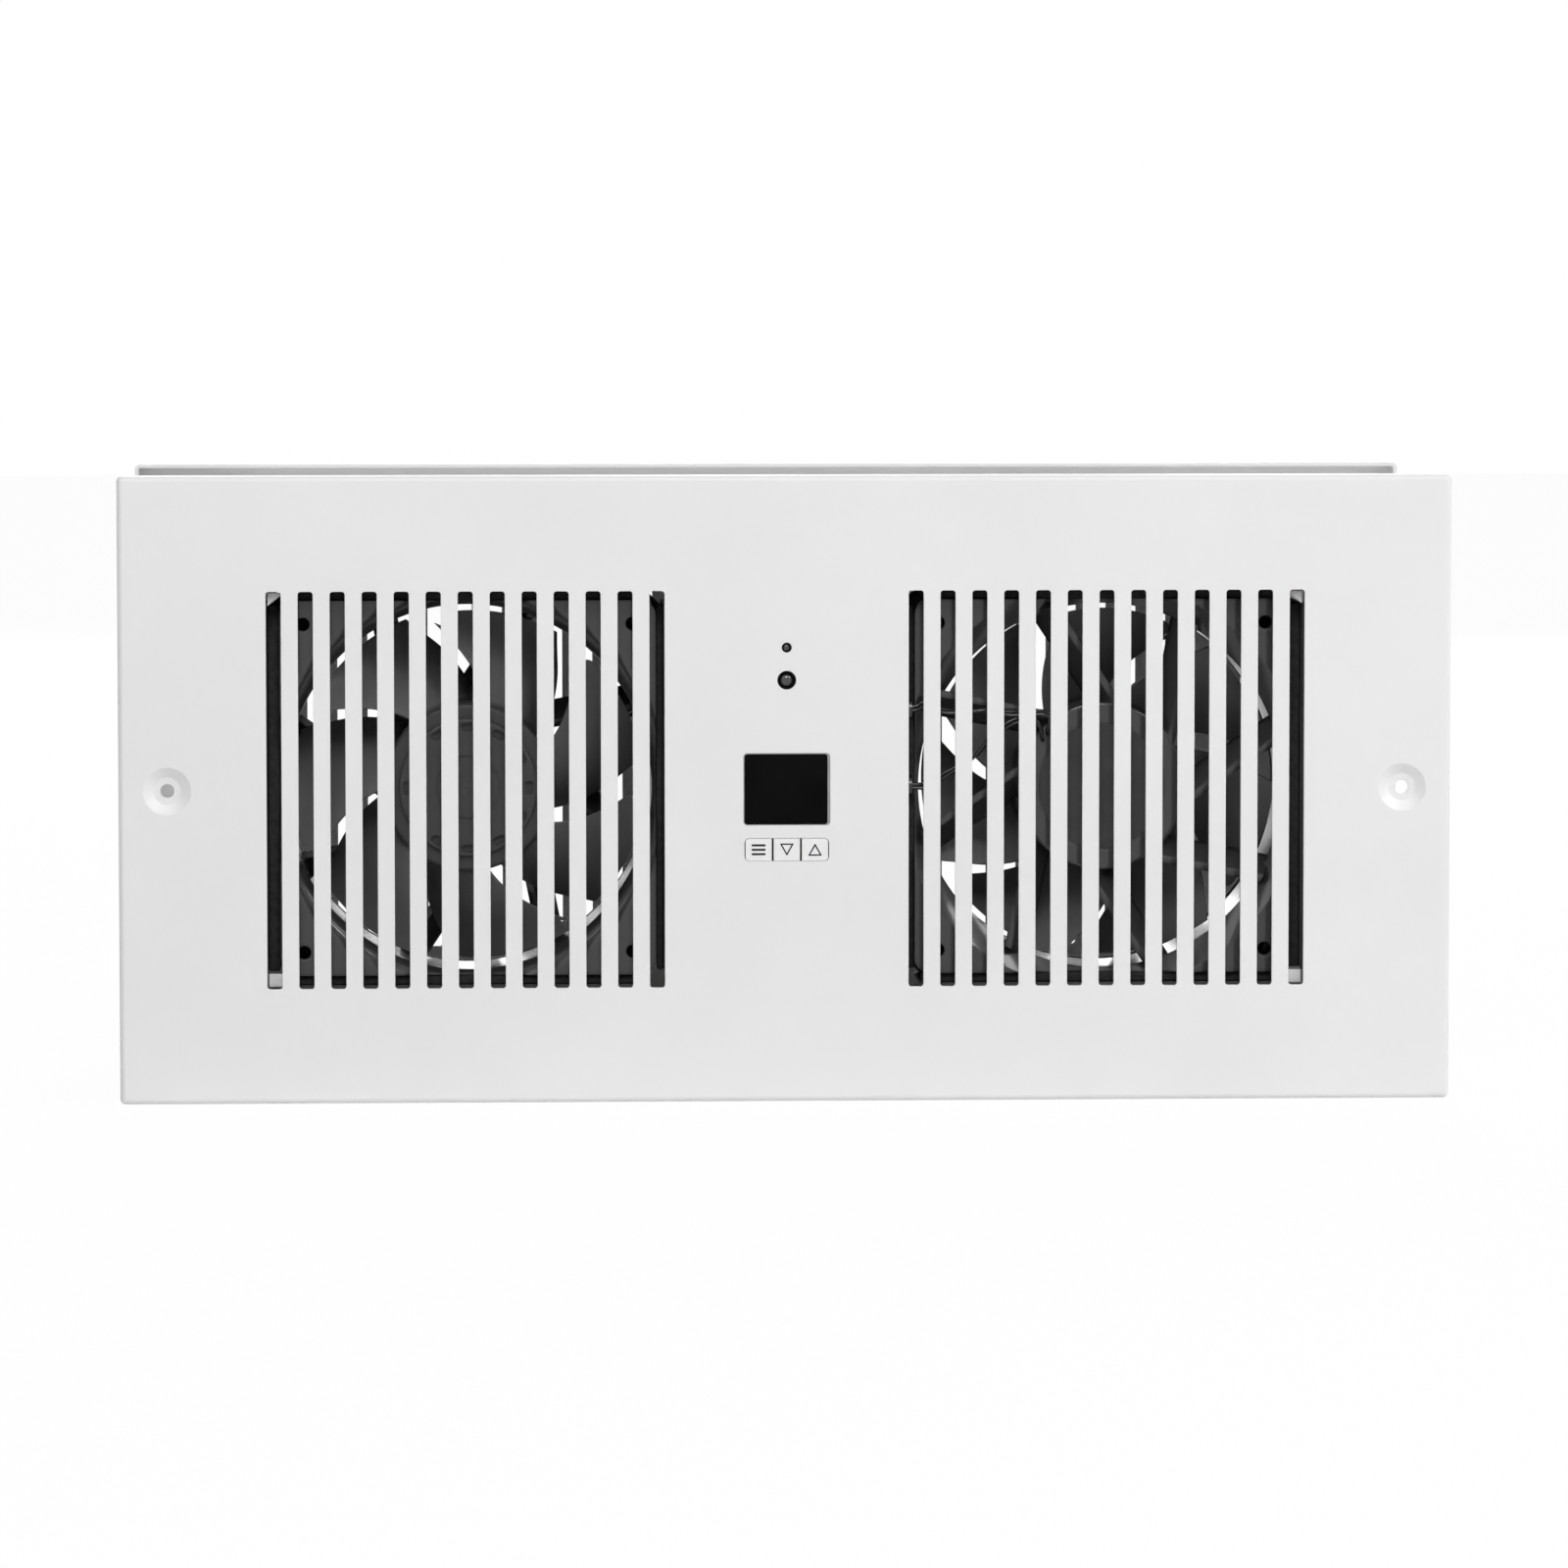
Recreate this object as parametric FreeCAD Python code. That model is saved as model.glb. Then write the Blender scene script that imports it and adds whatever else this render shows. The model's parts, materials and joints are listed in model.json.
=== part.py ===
import FreeCAD, Part
import math
import os

# Through-wall fan: two slotted steel plates, one on each side of a wall, joined by a telescoping sleeve.
# Two axial fans sit behind the front plate in folded trays and blow opposite ways. A controller with a
# display and three keys sits between them. Millimetres, +Z up, X along the plates, Y through the wall
# with the front plate at the -Y end. The origin is the middle of the sleeve, halfway through the wall.

Vector = FreeCAD.Vector
x_axis = Vector(1, 0, 0)
y_axis = Vector(0, 1, 0)
z_axis = Vector(0, 0, 1)
centre_point = Vector(0, 0, 0)

# Plates and the wall between them
plate_width = 425.0
plate_height = 200.0
sheet = 1.2
flange_depth = 10.0
inside_bend = 0.6
wall_depth = 130.0

# Grille slots
slot_count = 13
slot_pitch = 10.15
slot_width = 4.8
slot_length = 126.6
slot_corner = 1.0
grille_offset = 102.2

# Dimpled wall screw holes
screw_hole_offset = 197.0
screw_hole_radius = 2.2
dimple_radius = 7.6
dimple_floor = 4.4
dimple_depth = 2.0

# Controller face
window_width = 27.6
window_height = 23.0
window_corner = 1.2
key_strip_width = 27.0
key_strip_height = 7.3
key_strip_drop = 19.3
key_strip_corner = 1.6
key_gap = 0.65
key_lip = 0.8
key_depth = 1.4
key_travel = 0.5
receiver_hole = 3.0
receiver_radius = 2.5
receiver_sunk = 0.5
receiver_rise = 34.8
sensor_hole = 1.6
sensor_radius = 1.45
sensor_rise = 45.2
sensor_sunk = 0.8
dome_share = 0.9
part_gap = 0.1
travel_spare = 0.05

# Controller behind the face
board_width = 50.0
board_height = 86.0
board_thickness = 1.6
board_rise = 9.0
board_setback = 5.0
lens_sunk = 0.1
lens_flange = 0.8
lens_margin = 2.0
housing_wall = 1.8
housing_depth = 26.0
housing_margin = 1.2
post_radius = 2.4
post_inset = 5.0
ear_size = 10.0
ear_thickness = 2.0
switch_size = 6.0
switch_height = 3.0

# Fan trays
tray_fan_room = 3.2
tray_sheet = 1.2
tray_wall_inset = 4.7
tray_corner_cut = 8.7
tray_lip = 10.0
stud_spread = 80.0

# Fans
fan_size = 120.0
fan_depth = 38.0
fan_offset = 101.4
fan_setback = 10.0
fan_flange = 4.5
fan_corner = 5.0
fan_rim = 1.4
shroud_wall = 1.3
inlet_radius = 6.0
outlet_flare_width = 6.9
outlet_depth = 4.2
fan_hole_inset = 7.5
fan_hole_radius = 2.15

# Impeller
blade_count = 7
blade_angle = 44.0
blade_sweep = 27.3
blade_front = 5.0
blade_back = 29.0
blade_camber = 2.4
blade_thickness = 2.2
blade_edge = 0.9
blade_sections = 5
edge_angle_rounds = 12
tip_clearance = 2.2
blade_corner = 2.6
left_rotor_turn = -17.7
right_rotor_turn = -9.7
hub_radius = 27.0
hub_face_radius = 22.2
hub_step = 1.6
hub_front = 2.0
hub_back = 30.5
hub_wall = 1.9
hub_face = 2.8
hub_round = 0.8
shoulder_round = 1.5
hub_groove_radius = 10.0
hub_groove_width = 0.9
hub_groove_depth = 0.4
pocket_count = 12
pocket_circle = 19.5
pocket_length = 4.2
pocket_width = 1.8
pocket_depth = 0.8
pocket_flat = 0.05
boss_radius = 4.0
boss_height = 2.4

# Motor
vane_count = 8
vane_turn = 30.0
vane_start = 349.0
vane_lean = 3.2
vane_half_width = 1.1
vane_front = 31.4
vane_back = 37.6
motor_base_radius = 27.0
motor_base_thickness = 3.5
motor_base_round = 1.0
label_radius = 20.4
label_depth = 0.3
bearing_radius = 4.0
bearing_length = 4.0
bearing_tube_wall = 1.2
bearing_tube_start = 8.0
front_bearing_start = 8.5
rear_bearing_start = 26.5
shaft_radius = 1.5
shaft_back = 33.0
running_gap = 0.05
press_gap = 0.02
cup_wall = 1.0
cup_start = 5.4
cup_back = 29.0
magnet_wall = 2.6
magnet_start = 10.0
magnet_back = 27.0
air_gap = 0.5
core_start = 13.0
core_back = 24.0
core_hub_wall = 2.3
pole_count = 4
pole_width = 4.0
pole_shoe = 1.8
pole_shoe_angle = 66.0
winding_thickness = 1.6
motor_board_radius = 17.0
motor_board_thickness = 1.2

# Telescoping sleeve
sleeve_side_room = 3.4
sleeve_lip_room = 2.6
sleeve_sheet = 1.2
sleeve_gap = 0.4
sleeve_length = 93.8
sleeve_lip = 9.0
sleeve_lip_height = 120.0
sleeve_notch = 8.0
sleeve_notch_depth = 9.0
sleeve_stud_spread = 90.0

# Fasteners
stud_radius = 1.5
stud_length = 6.0
nut_flats = 5.5
nut_height = 2.4
nut_gap = 0.05
stud_hole_gap = 0.2
fan_screw_radius = 2.1
fan_screw_head = 3.8
fan_screw_head_height = 2.4
fan_screw_round = 1.2
fan_nut_flats = 7.0
fan_nut_height = 3.2
fan_screw_tail = 1.2

# Leads and power inlet
lead_radius = 1.3
lead_hole_gap = 0.2
lead_height = 25.0
lead_exit_offset = 14.8
lead_exit_height = 19.0
lead_knee_offset = 20.4
lead_knee_rise = 1.5
signal_lead_height = 0.5
signal_exit_offset = 18.7
signal_exit_height = 15.2
signal_knee_offset = 26.4
signal_knee_height = 22.5
lead_bend = 1.9
lead_stub = 0.3
lead_side_bend = 4.5
lead_entry = 4.0
lead_tail = 0.8
left_lead_turn = -18.0
rear_lead_bend = 8.0
grommet_lip = 1.2
grommet_groove = 1.0
inlet_offset = 14.0
inlet_nose = 3.3
inlet_body = 3.75
inlet_length = 12.8
inlet_bore = 2.75
inlet_bore_depth = 9.0
inlet_lead_radius = 1.4

# Levels along Y and other sizes, worked out from those above
wall_face = -wall_depth / 2
front_face = wall_face - flange_depth
plate_back = front_face + sheet
fan_front = front_face + fan_setback
fan_back = fan_front + fan_depth
tray_back = fan_back + tray_sheet
board_front = plate_back + board_setback
board_back = board_front + board_thickness
housing_back = plate_back + housing_depth
fan_bore_radius = fan_size / 2 - fan_rim
fan_hole_spacing = fan_size - 2 * fan_hole_inset
shroud_radius = fan_bore_radius + shroud_wall
bearing_tube_radius = bearing_radius + bearing_tube_wall
motor_base_front = fan_depth - motor_base_thickness
tray_inside = fan_size + 2 * tray_fan_room
tray_wall_length = tray_inside - 2 * tray_wall_inset
tray_half = tray_inside / 2 + tray_sheet
sleeve_width = 2 * (grille_offset + tray_half + sleeve_side_room)
sleeve_height = 2 * (tray_half + tray_lip + sleeve_lip_room)
housing_width = board_width + 2 * (housing_margin + housing_wall)
housing_height = board_height + 2 * (housing_margin + housing_wall)
stud_hole_radius = stud_radius + stud_hole_gap
lead_rise = lead_bend + lead_stub

os.makedirs("parts", exist_ok=True)


def save(name, *shapes):
    solids = [solid for shape in shapes for solid in shape.Solids]
    whole = solids[0] if len(solids) == 1 else Part.makeCompound(solids)
    whole.exportStep(f"parts/{name}.step")


def joined(first, *others):
    return first.fuse(list(others)).removeSplitter()


def block(x_range, y_range, z_range):
    low = Vector(x_range[0], y_range[0], z_range[0])
    size = [high - start for start, high in (x_range, y_range, z_range)]
    return Part.makeBox(size[0], size[1], size[2], low)


def rod(radius, y_start, y_end, x, z):
    return Part.makeCylinder(radius, y_end - y_start, Vector(x, y_start, z), y_axis)


def ring(outer, inner, start, end):
    # A tube along the local Z axis
    tube = Part.makeCylinder(outer, end - start, Vector(0, 0, start))
    return tube.cut(Part.makeCylinder(inner, end - start, Vector(0, 0, start)))


def rounded_rectangle(width, height, radius, x=0.0, z=0.0):
    # A closed outline in the XZ plane, seen from the front
    inner_x = width / 2 - radius
    inner_z = height / 2 - radius
    corners = [(inner_x, inner_z), (-inner_x, inner_z), (-inner_x, -inner_z), (inner_x, -inner_z)]
    arcs = []
    for quarter, (corner_x, corner_z) in enumerate(corners):
        spots = []
        for step in range(3):
            angle = math.radians(90 * quarter + 45 * step)
            along = x + corner_x + radius * math.cos(angle)
            up = z + corner_z + radius * math.sin(angle)
            spots.append(Vector(along, 0, up))
        arcs.append(Part.Arc(*spots).toShape())
    edges = []
    for arc, following in zip(arcs, arcs[1:] + arcs[:1]):
        edges.append(arc)
        edges.append(Part.makeLine(arc.lastVertex().Point, following.firstVertex().Point))
    return Part.Wire(edges)


def panel(outline, y_start, y_end):
    face = Part.Face(outline)
    face.translate(Vector(0, y_start, 0))
    return face.extrude(Vector(0, y_end - y_start, 0))


def hexagon_nut(flats, height, hole, y_start, x, z):
    corner = flats / math.sqrt(3)
    points = []
    for step in range(7):
        angle = math.radians(60 * step)
        points.append(Vector(x + corner * math.cos(angle), y_start, z + corner * math.sin(angle)))
    body = Part.Face(Part.makePolygon(points)).extrude(Vector(0, height, 0))
    return body.cut(rod(hole, y_start, y_start + height, x, z))


def turned_to_rear(shape):
    # What faces the front room, turned to face the rear one
    copy = shape.copy()
    copy.rotate(centre_point, z_axis, 180)
    return copy


# Plates

def folded_shell(width, height, y_front, y_back, radius):
    body = block((-width / 2, width / 2), (y_front, y_back), (-height / 2, height / 2))
    bends = [edge for edge in body.Edges if min(spot.Y for spot in edge.Vertexes) < y_back - radius]
    return body.makeFillet(radius, bends)


def grille_slots(y_start, y_end):
    slots = []
    for side in (-1, 1):
        for step in range(slot_count):
            x = side * grille_offset + (step - (slot_count - 1) / 2) * slot_pitch
            slots.append(panel(rounded_rectangle(slot_width, slot_length, slot_corner, x), y_start, y_end))
    return slots


def grille_plate():
    outer = folded_shell(plate_width, plate_height, front_face, wall_face, inside_bend + sheet)
    hollow = folded_shell(
        plate_width - 2 * sheet, plate_height - 2 * sheet, plate_back, wall_face, inside_bend
    )
    plate = outer.cut(hollow)
    for side in (-1, 1):
        x = side * screw_hole_offset
        boss = Part.makeCone(dimple_radius, dimple_floor, dimple_depth, Vector(x, plate_back, 0), y_axis)
        recess = Part.makeCone(dimple_radius, dimple_floor, dimple_depth, Vector(x, front_face, 0), y_axis)
        plate = plate.fuse(boss).cut(recess)
        plate = plate.cut(rod(screw_hole_radius, front_face, wall_face, x, 0))
    return plate.cut(grille_slots(front_face, plate_back))


def front_plate():
    window = rounded_rectangle(window_width, window_height, window_corner)
    key_strip = rounded_rectangle(key_strip_width, key_strip_height, key_strip_corner, 0, -key_strip_drop)
    inlet_hole = Part.makeCylinder(
        inlet_nose + part_gap, sheet, Vector(inlet_offset, inlet_level(), -plate_height / 2)
    )
    openings = [
        panel(window, front_face, plate_back),
        panel(key_strip, front_face, plate_back),
        rod(receiver_hole, front_face, plate_back, 0, receiver_rise),
        rod(sensor_hole, front_face, plate_back, 0, sensor_rise),
        inlet_hole,
    ]
    return grille_plate().cut(openings)


# Studs welded to the plates, and their nuts

def tray_stud_places():
    places = []
    for side in (-1, 1):
        for across in (-1, 1):
            for up in (-1, 1):
                x = side * grille_offset + across * stud_spread / 2
                places.append((x, up * (tray_half + tray_lip / 2)))
    return places


def sleeve_stud_places(outside_width):
    x = outside_width / 2 + sleeve_lip / 2
    return [(side * x, up * sleeve_stud_spread / 2) for side in (-1, 1) for up in (-1, 1)]


def housing_stud_places():
    reach = housing_height / 2 + ear_size / 2
    return [(0, board_rise + reach), (0, board_rise - reach)]


def studs(places):
    return [rod(stud_radius, plate_back, plate_back + stud_length, x, z) for x, z in places]


def nuts(places, thickness):
    seat = plate_back + thickness
    return [hexagon_nut(nut_flats, nut_height, stud_radius + nut_gap, seat, x, z) for x, z in places]


# Fan trays

def fan_tray(side):
    middle = side * grille_offset
    long_half = tray_half - tray_corner_cut
    turns = [(1, 1), (-1, 1), (-1, -1), (1, -1)]
    outline = []
    for across, up in turns:
        pair = [(across * tray_half, up * long_half), (across * long_half, up * tray_half)]
        if across * up < 0:
            pair.reverse()
        outline += [Vector(middle + x, fan_back, z) for x, z in pair]
    base = Part.Face(Part.makePolygon(outline + outline[:1])).extrude(Vector(0, tray_sheet, 0))
    depth = (plate_back, tray_back)
    reach = tray_wall_length / 2
    inner = tray_inside / 2
    pieces = []
    for turn in (-1, 1):
        near, far = sorted((turn * inner, turn * tray_half))
        pieces.append(block((middle - reach, middle + reach), depth, (near, far)))
        pieces.append(block((middle + near, middle + far), depth, (-reach, reach)))
        low, high = sorted((turn * tray_half, turn * (tray_half + tray_lip)))
        lip_depth = (plate_back, plate_back + tray_sheet)
        pieces.append(block((middle - reach, middle + reach), lip_depth, (low, high)))
    tray = joined(base, *pieces)
    cuts = [rod(fan_bore_radius, fan_back, tray_back, side * fan_offset, 0)]
    for x, z in fan_hole_places(side):
        cuts.append(rod(fan_hole_radius, fan_back, tray_back, x, z))
    for x, z in tray_stud_places():
        cuts.append(rod(stud_hole_radius, plate_back, plate_back + tray_sheet, x, z))
    if side > 0:
        hole = lead_radius + lead_hole_gap + grommet_groove
        for height in (lead_height, signal_lead_height):
            start = Vector(middle - tray_half, fan_front - lead_rise, height)
            cuts.append(Part.makeCylinder(hole, tray_sheet, start, x_axis))
    return tray.cut(cuts)


def fan_hole_places(side):
    half = fan_hole_spacing / 2
    return [(side * fan_offset + across * half, up * half) for across in (-1, 1) for up in (-1, 1)]


def fan_screws(side):
    screws = []
    tail = fan_back - fan_flange - fan_nut_height - fan_screw_tail
    for x, z in fan_hole_places(side):
        shank = rod(fan_screw_radius, tail, tray_back, x, z)
        head = rod(fan_screw_head, tray_back, tray_back + fan_screw_head_height, x, z)
        rim = [edge for edge in head.Edges if edge.BoundBox.YMin > tray_back]
        screws.append(joined(shank, head.makeFillet(fan_screw_round, rim)))
    return screws


def fan_nuts(side):
    seat = fan_back - fan_flange - fan_nut_height
    hole = fan_screw_radius + nut_gap
    return [hexagon_nut(fan_nut_flats, fan_nut_height, hole, seat, x, z) for x, z in fan_hole_places(side)]


# Fans, made along a local Z axis that points with the airflow, from the intake at zero

def placed_fan(shape, side):
    # The left fan takes air in at the front, the right one blows it out there
    placed = shape.copy()
    placed.rotate(centre_point, x_axis, side * 90)
    level = fan_front if side < 0 else fan_back
    placed.translate(Vector(side * fan_offset, level, 0))
    return placed


def fan_flange_plate(start):
    square = panel(rounded_rectangle(fan_size, fan_size, fan_corner), 0, fan_flange)
    square.rotate(centre_point, x_axis, 90)
    square.translate(Vector(0, 0, start))
    return square.cut(Part.makeCylinder(fan_bore_radius, fan_flange, Vector(0, 0, start)))


def inlet_flare():
    # The rounded mouth that leads air into the bore
    wide = fan_bore_radius + inlet_radius
    bend = inlet_radius * math.sqrt(0.5)
    mouth = Vector(wide, 0, 0)
    middle = Vector(wide - bend, 0, inlet_radius - bend)
    throat = Vector(fan_bore_radius, 0, inlet_radius)
    outline = [
        Part.Arc(mouth, middle, throat).toShape(),
        Part.makeLine(throat, Vector(0, 0, inlet_radius)),
        Part.makeLine(Vector(0, 0, inlet_radius), centre_point),
        Part.makeLine(centre_point, mouth),
    ]
    return Part.Face(Part.Wire(outline)).revolve(centre_point, z_axis, 360)


def outlet_flare():
    # The cone that opens the outlet towards the corners of the frame
    start = Vector(0, 0, fan_depth - outlet_depth)
    wide = fan_bore_radius + outlet_flare_width
    return Part.makeCone(fan_bore_radius, wide, outlet_depth, start)


def vane_section(radius, angle, direction):
    # A leaning slat, square to the line that the vane follows from the motor base to the shroud
    spot = Vector(radius * math.cos(angle), radius * math.sin(angle), 0)
    across = z_axis.cross(direction)
    corners = [
        (vane_lean + vane_half_width, vane_front),
        (vane_lean - vane_half_width, vane_front),
        (-vane_lean - vane_half_width, vane_back),
        (-vane_lean + vane_half_width, vane_back),
    ]
    points = [spot + across * offset + z_axis * level for offset, level in corners]
    return Part.makePolygon(points + points[:1])


def guide_vane(number):
    inner_angle = math.radians(vane_start + number * 360 / vane_count)
    outer_angle = inner_angle + math.radians(vane_turn)
    inner = motor_base_radius - motor_base_round - vane_lean
    outer = shroud_radius + vane_lean
    start = Vector(inner * math.cos(inner_angle), inner * math.sin(inner_angle), 0)
    end = Vector(outer * math.cos(outer_angle), outer * math.sin(outer_angle), 0)
    direction = (end - start).normalize()
    sections = [vane_section(inner, inner_angle, direction), vane_section(outer, outer_angle, direction)]
    bare = Part.makeLoft(sections, True, True)
    return bare.common(ring(shroud_radius, motor_base_radius - motor_base_round, 0, fan_depth))


def motor_base():
    disc = Part.makeCylinder(motor_base_radius, motor_base_thickness, Vector(0, 0, motor_base_front))
    rim = [edge for edge in disc.Edges if edge.BoundBox.ZMin > motor_base_front + motor_base_thickness / 2]
    disc = disc.makeFillet(motor_base_round, rim[:1])
    label = Part.makeCylinder(label_radius, label_depth, Vector(0, 0, fan_depth - label_depth))
    tube = Part.makeCylinder(
        bearing_tube_radius, motor_base_front - bearing_tube_start, Vector(0, 0, bearing_tube_start)
    )
    bore = Part.makeCylinder(
        bearing_radius, motor_base_front - bearing_tube_start, Vector(0, 0, bearing_tube_start)
    )
    return disc.fuse(tube).cut([label, bore])


def fan_frame():
    shroud = ring(shroud_radius, fan_bore_radius, 0, fan_depth)
    flanges = [fan_flange_plate(0), fan_flange_plate(fan_depth - fan_flange)]
    vanes = [guide_vane(number) for number in range(vane_count)]
    body = joined(shroud, *flanges).cut([inlet_flare(), outlet_flare()])
    frame = joined(body, motor_base(), *vanes)
    half = fan_hole_spacing / 2
    holes = []
    for across in (-1, 1):
        for up in (-1, 1):
            holes.append(Part.makeCylinder(fan_hole_radius, fan_depth, Vector(across * half, up * half, 0)))
    return frame.cut(holes)


def blade_edge_angle(distance, side):
    # The swept edge turns back with the radius, so its angle on a flat section is found step by step
    tip = fan_bore_radius - tip_clearance
    angle = 0.0
    for _ in range(edge_angle_rounds):
        radius = min(distance / math.cos(math.radians(angle)), tip)
        share = (radius - hub_radius) / (tip - hub_radius)
        angle = blade_sweep * (0.5 - share) + side * blade_angle / 2
    return math.radians(angle)


def blade_section(distance):
    lead = Vector(distance, distance * math.tan(blade_edge_angle(distance, -1)), blade_front)
    trail = Vector(distance, distance * math.tan(blade_edge_angle(distance, 1)), blade_back)
    normal = x_axis.cross(trail - lead).normalize()
    if normal.z > 0:
        normal = normal * -1
    middle = (lead + trail) * 0.5 + normal * blade_camber
    half_edge = normal * (blade_edge / 2)
    half_body = normal * (blade_thickness / 2)
    edges = [
        Part.Arc(lead + half_edge, middle + half_body, trail + half_edge).toShape(),
        Part.makeLine(trail + half_edge, trail - half_edge),
        Part.Arc(trail - half_edge, middle - half_body, lead - half_edge).toShape(),
        Part.makeLine(lead - half_edge, lead + half_edge),
    ]
    return Part.Wire(edges)


def sharp_corner(bare, tip):
    # What lies outside a circle that touches the leading edge and the tip, at the corner between them
    spots = [spot.Point for spot in bare.Vertexes if spot.Z < blade_front + blade_edge]
    corner = max(spots, key=lambda spot: math.hypot(spot.x, spot.y))
    corner = Vector(corner.x, corner.y, 0)
    outward = Vector(corner).normalize()
    around = z_axis.cross(outward)
    turn_back = math.radians(blade_sweep) * tip / (tip - hub_radius)
    edge = (around * turn_back - outward).normalize()
    inward = (around - edge * around.dot(edge)).normalize()
    start = corner + inward * blade_corner
    along = start.dot(edge)
    reach = -along - math.sqrt(along ** 2 - start.dot(start) + (tip - blade_corner) ** 2)
    centre = start + edge * reach
    foot = corner + edge * reach
    top = centre * (tip / (tip - blade_corner))
    outline = [corner * 2 - centre, foot, centre, top, corner * 2 - centre]
    piece = Part.Face(Part.makePolygon(outline)).extrude(z_axis * fan_depth)
    return piece.cut(Part.makeCylinder(blade_corner, fan_depth, centre))


def blade():
    root = hub_radius - hub_wall / 2
    tip = fan_bore_radius - tip_clearance
    start = root * math.cos(math.radians(blade_sweep / 2 + blade_angle / 2)) - hub_wall
    stride = (tip + hub_wall - start) / (blade_sections - 1)
    distances = [start + stride * number for number in range(blade_sections)]
    whole = Part.makeLoft([blade_section(distance) for distance in distances], True, False)
    bare = whole.common(ring(tip, root, 0, fan_depth))
    return bare.cut(sharp_corner(bare, tip))


def rounded_disc(radius, start, end, rounding):
    # A disc along the local Z axis with a rounded front rim
    disc = Part.makeCylinder(radius, end - start, Vector(0, 0, start))
    rim = [edge for edge in disc.Edges if edge.BoundBox.ZMax < start + rounding]
    return disc.makeFillet(rounding, rim)


def hub():
    shoulder = hub_front + hub_step
    body = rounded_disc(hub_radius, shoulder, hub_back, shoulder_round)
    body = body.fuse(rounded_disc(hub_face_radius, hub_front, hub_back, hub_round))
    inner_face = hub_front + hub_face
    hollow = Part.makeCylinder(hub_radius - hub_wall, hub_back - inner_face, Vector(0, 0, inner_face))
    boss = Part.makeCylinder(boss_radius, boss_height, Vector(0, 0, inner_face))
    body = body.cut(hollow).fuse(boss)
    groove = ring(
        hub_groove_radius + hub_groove_width / 2,
        hub_groove_radius - hub_groove_width / 2,
        hub_front,
        hub_front + hub_groove_depth,
    )
    cuts = [groove, Part.makeCylinder(shaft_radius, fan_depth)]
    for number in range(pocket_count):
        outline = rounded_rectangle(pocket_width, pocket_length, pocket_width / 2 - pocket_flat)
        slot = panel(outline, 0, pocket_depth)
        slot.rotate(centre_point, x_axis, 90)
        slot.translate(Vector(pocket_circle, 0, hub_front + pocket_depth))
        slot.rotate(centre_point, z_axis, 360 * number / pocket_count)
        cuts.append(slot)
    return body.cut(cuts)


def impeller(turn):
    blades = []
    for number in range(blade_count):
        copy = blade()
        copy.rotate(centre_point, z_axis, turn + 360 * number / blade_count)
        blades.append(copy)
    return joined(hub(), *blades)


def rotor_cup():
    outer = hub_radius - hub_wall - press_gap
    return ring(outer, outer - cup_wall, cup_start, cup_back)


def magnet():
    outer = hub_radius - hub_wall - press_gap - cup_wall - press_gap
    return ring(outer, outer - magnet_wall, magnet_start, magnet_back)


def shaft():
    return Part.makeCylinder(shaft_radius, shaft_back - hub_front, Vector(0, 0, hub_front))


def bearings():
    starts = (front_bearing_start, rear_bearing_start)
    return [ring(bearing_radius, shaft_radius + running_gap, start, start + bearing_length) for start in starts]


def core_radius():
    return hub_radius - hub_wall - cup_wall - magnet_wall - 2 * press_gap - air_gap


def stator_core():
    height = core_back - core_start
    tip = core_radius()
    body = Part.makeCylinder(bearing_tube_radius + core_hub_wall, height, Vector(0, 0, core_start))
    pieces = []
    for number in range(pole_count):
        arm = Part.makeBox(tip - pole_shoe / 2, pole_width, height, Vector(0, -pole_width / 2, core_start))
        shoe = Part.makeCylinder(tip, height, Vector(0, 0, core_start), z_axis, pole_shoe_angle)
        inner = Part.makeCylinder(tip - pole_shoe, height, Vector(0, 0, core_start))
        shoe.rotate(centre_point, z_axis, -pole_shoe_angle / 2)
        pole = arm.fuse(shoe.cut(inner))
        pole.rotate(centre_point, z_axis, number * 360 / pole_count)
        pieces.append(pole)
    whole = joined(body, *pieces)
    return whole.cut(Part.makeCylinder(bearing_tube_radius + press_gap, height, Vector(0, 0, core_start)))


def windings():
    start = bearing_tube_radius + core_hub_wall + pole_width / 4
    length = core_radius() - pole_shoe - start - pole_width / 4
    width = pole_width + 2 * winding_thickness
    height = core_back - core_start + 2 * winding_thickness
    coils = []
    for number in range(pole_count):
        coil = Part.makeBox(length, width, height, Vector(start, -width / 2, core_start - winding_thickness))
        corners = [edge for edge in coil.Edges if edge.BoundBox.XLength > length / 2]
        coil = coil.makeFillet(winding_thickness, corners)
        arm = Part.makeBox(
            length, pole_width, core_back - core_start, Vector(start, -pole_width / 2, core_start)
        )
        coil = coil.cut(arm)
        coil.rotate(centre_point, z_axis, number * 360 / pole_count)
        coils.append(coil)
    return coils


def motor_board():
    return ring(
        motor_board_radius,
        bearing_tube_radius + press_gap,
        motor_base_front - motor_board_thickness,
        motor_base_front,
    )


# Controller

def key(column):
    # One of the three keys, held behind the plate by its upper and lower lips
    strip = rounded_rectangle(
        key_strip_width - 2 * part_gap, key_strip_height - 2 * part_gap, key_strip_corner, 0, -key_strip_drop
    )
    cell = key_strip_width / 3
    middle = (column - 1) * cell
    half = (cell - key_gap) / 2
    lip_half = key_strip_height / 2 + key_lip
    deep = plate_back + key_depth
    cap = panel(strip, front_face, deep)
    cap = cap.common(block((middle - half, middle + half), (front_face, deep), (-plate_height, 0)))
    lip_half_width = half - key_strip_corner
    lip = block(
        (middle - lip_half_width, middle + lip_half_width),
        (plate_back, plate_back + key_lip),
        (-key_strip_drop - lip_half, -key_strip_drop + lip_half),
    )
    return joined(cap, lip)


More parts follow.
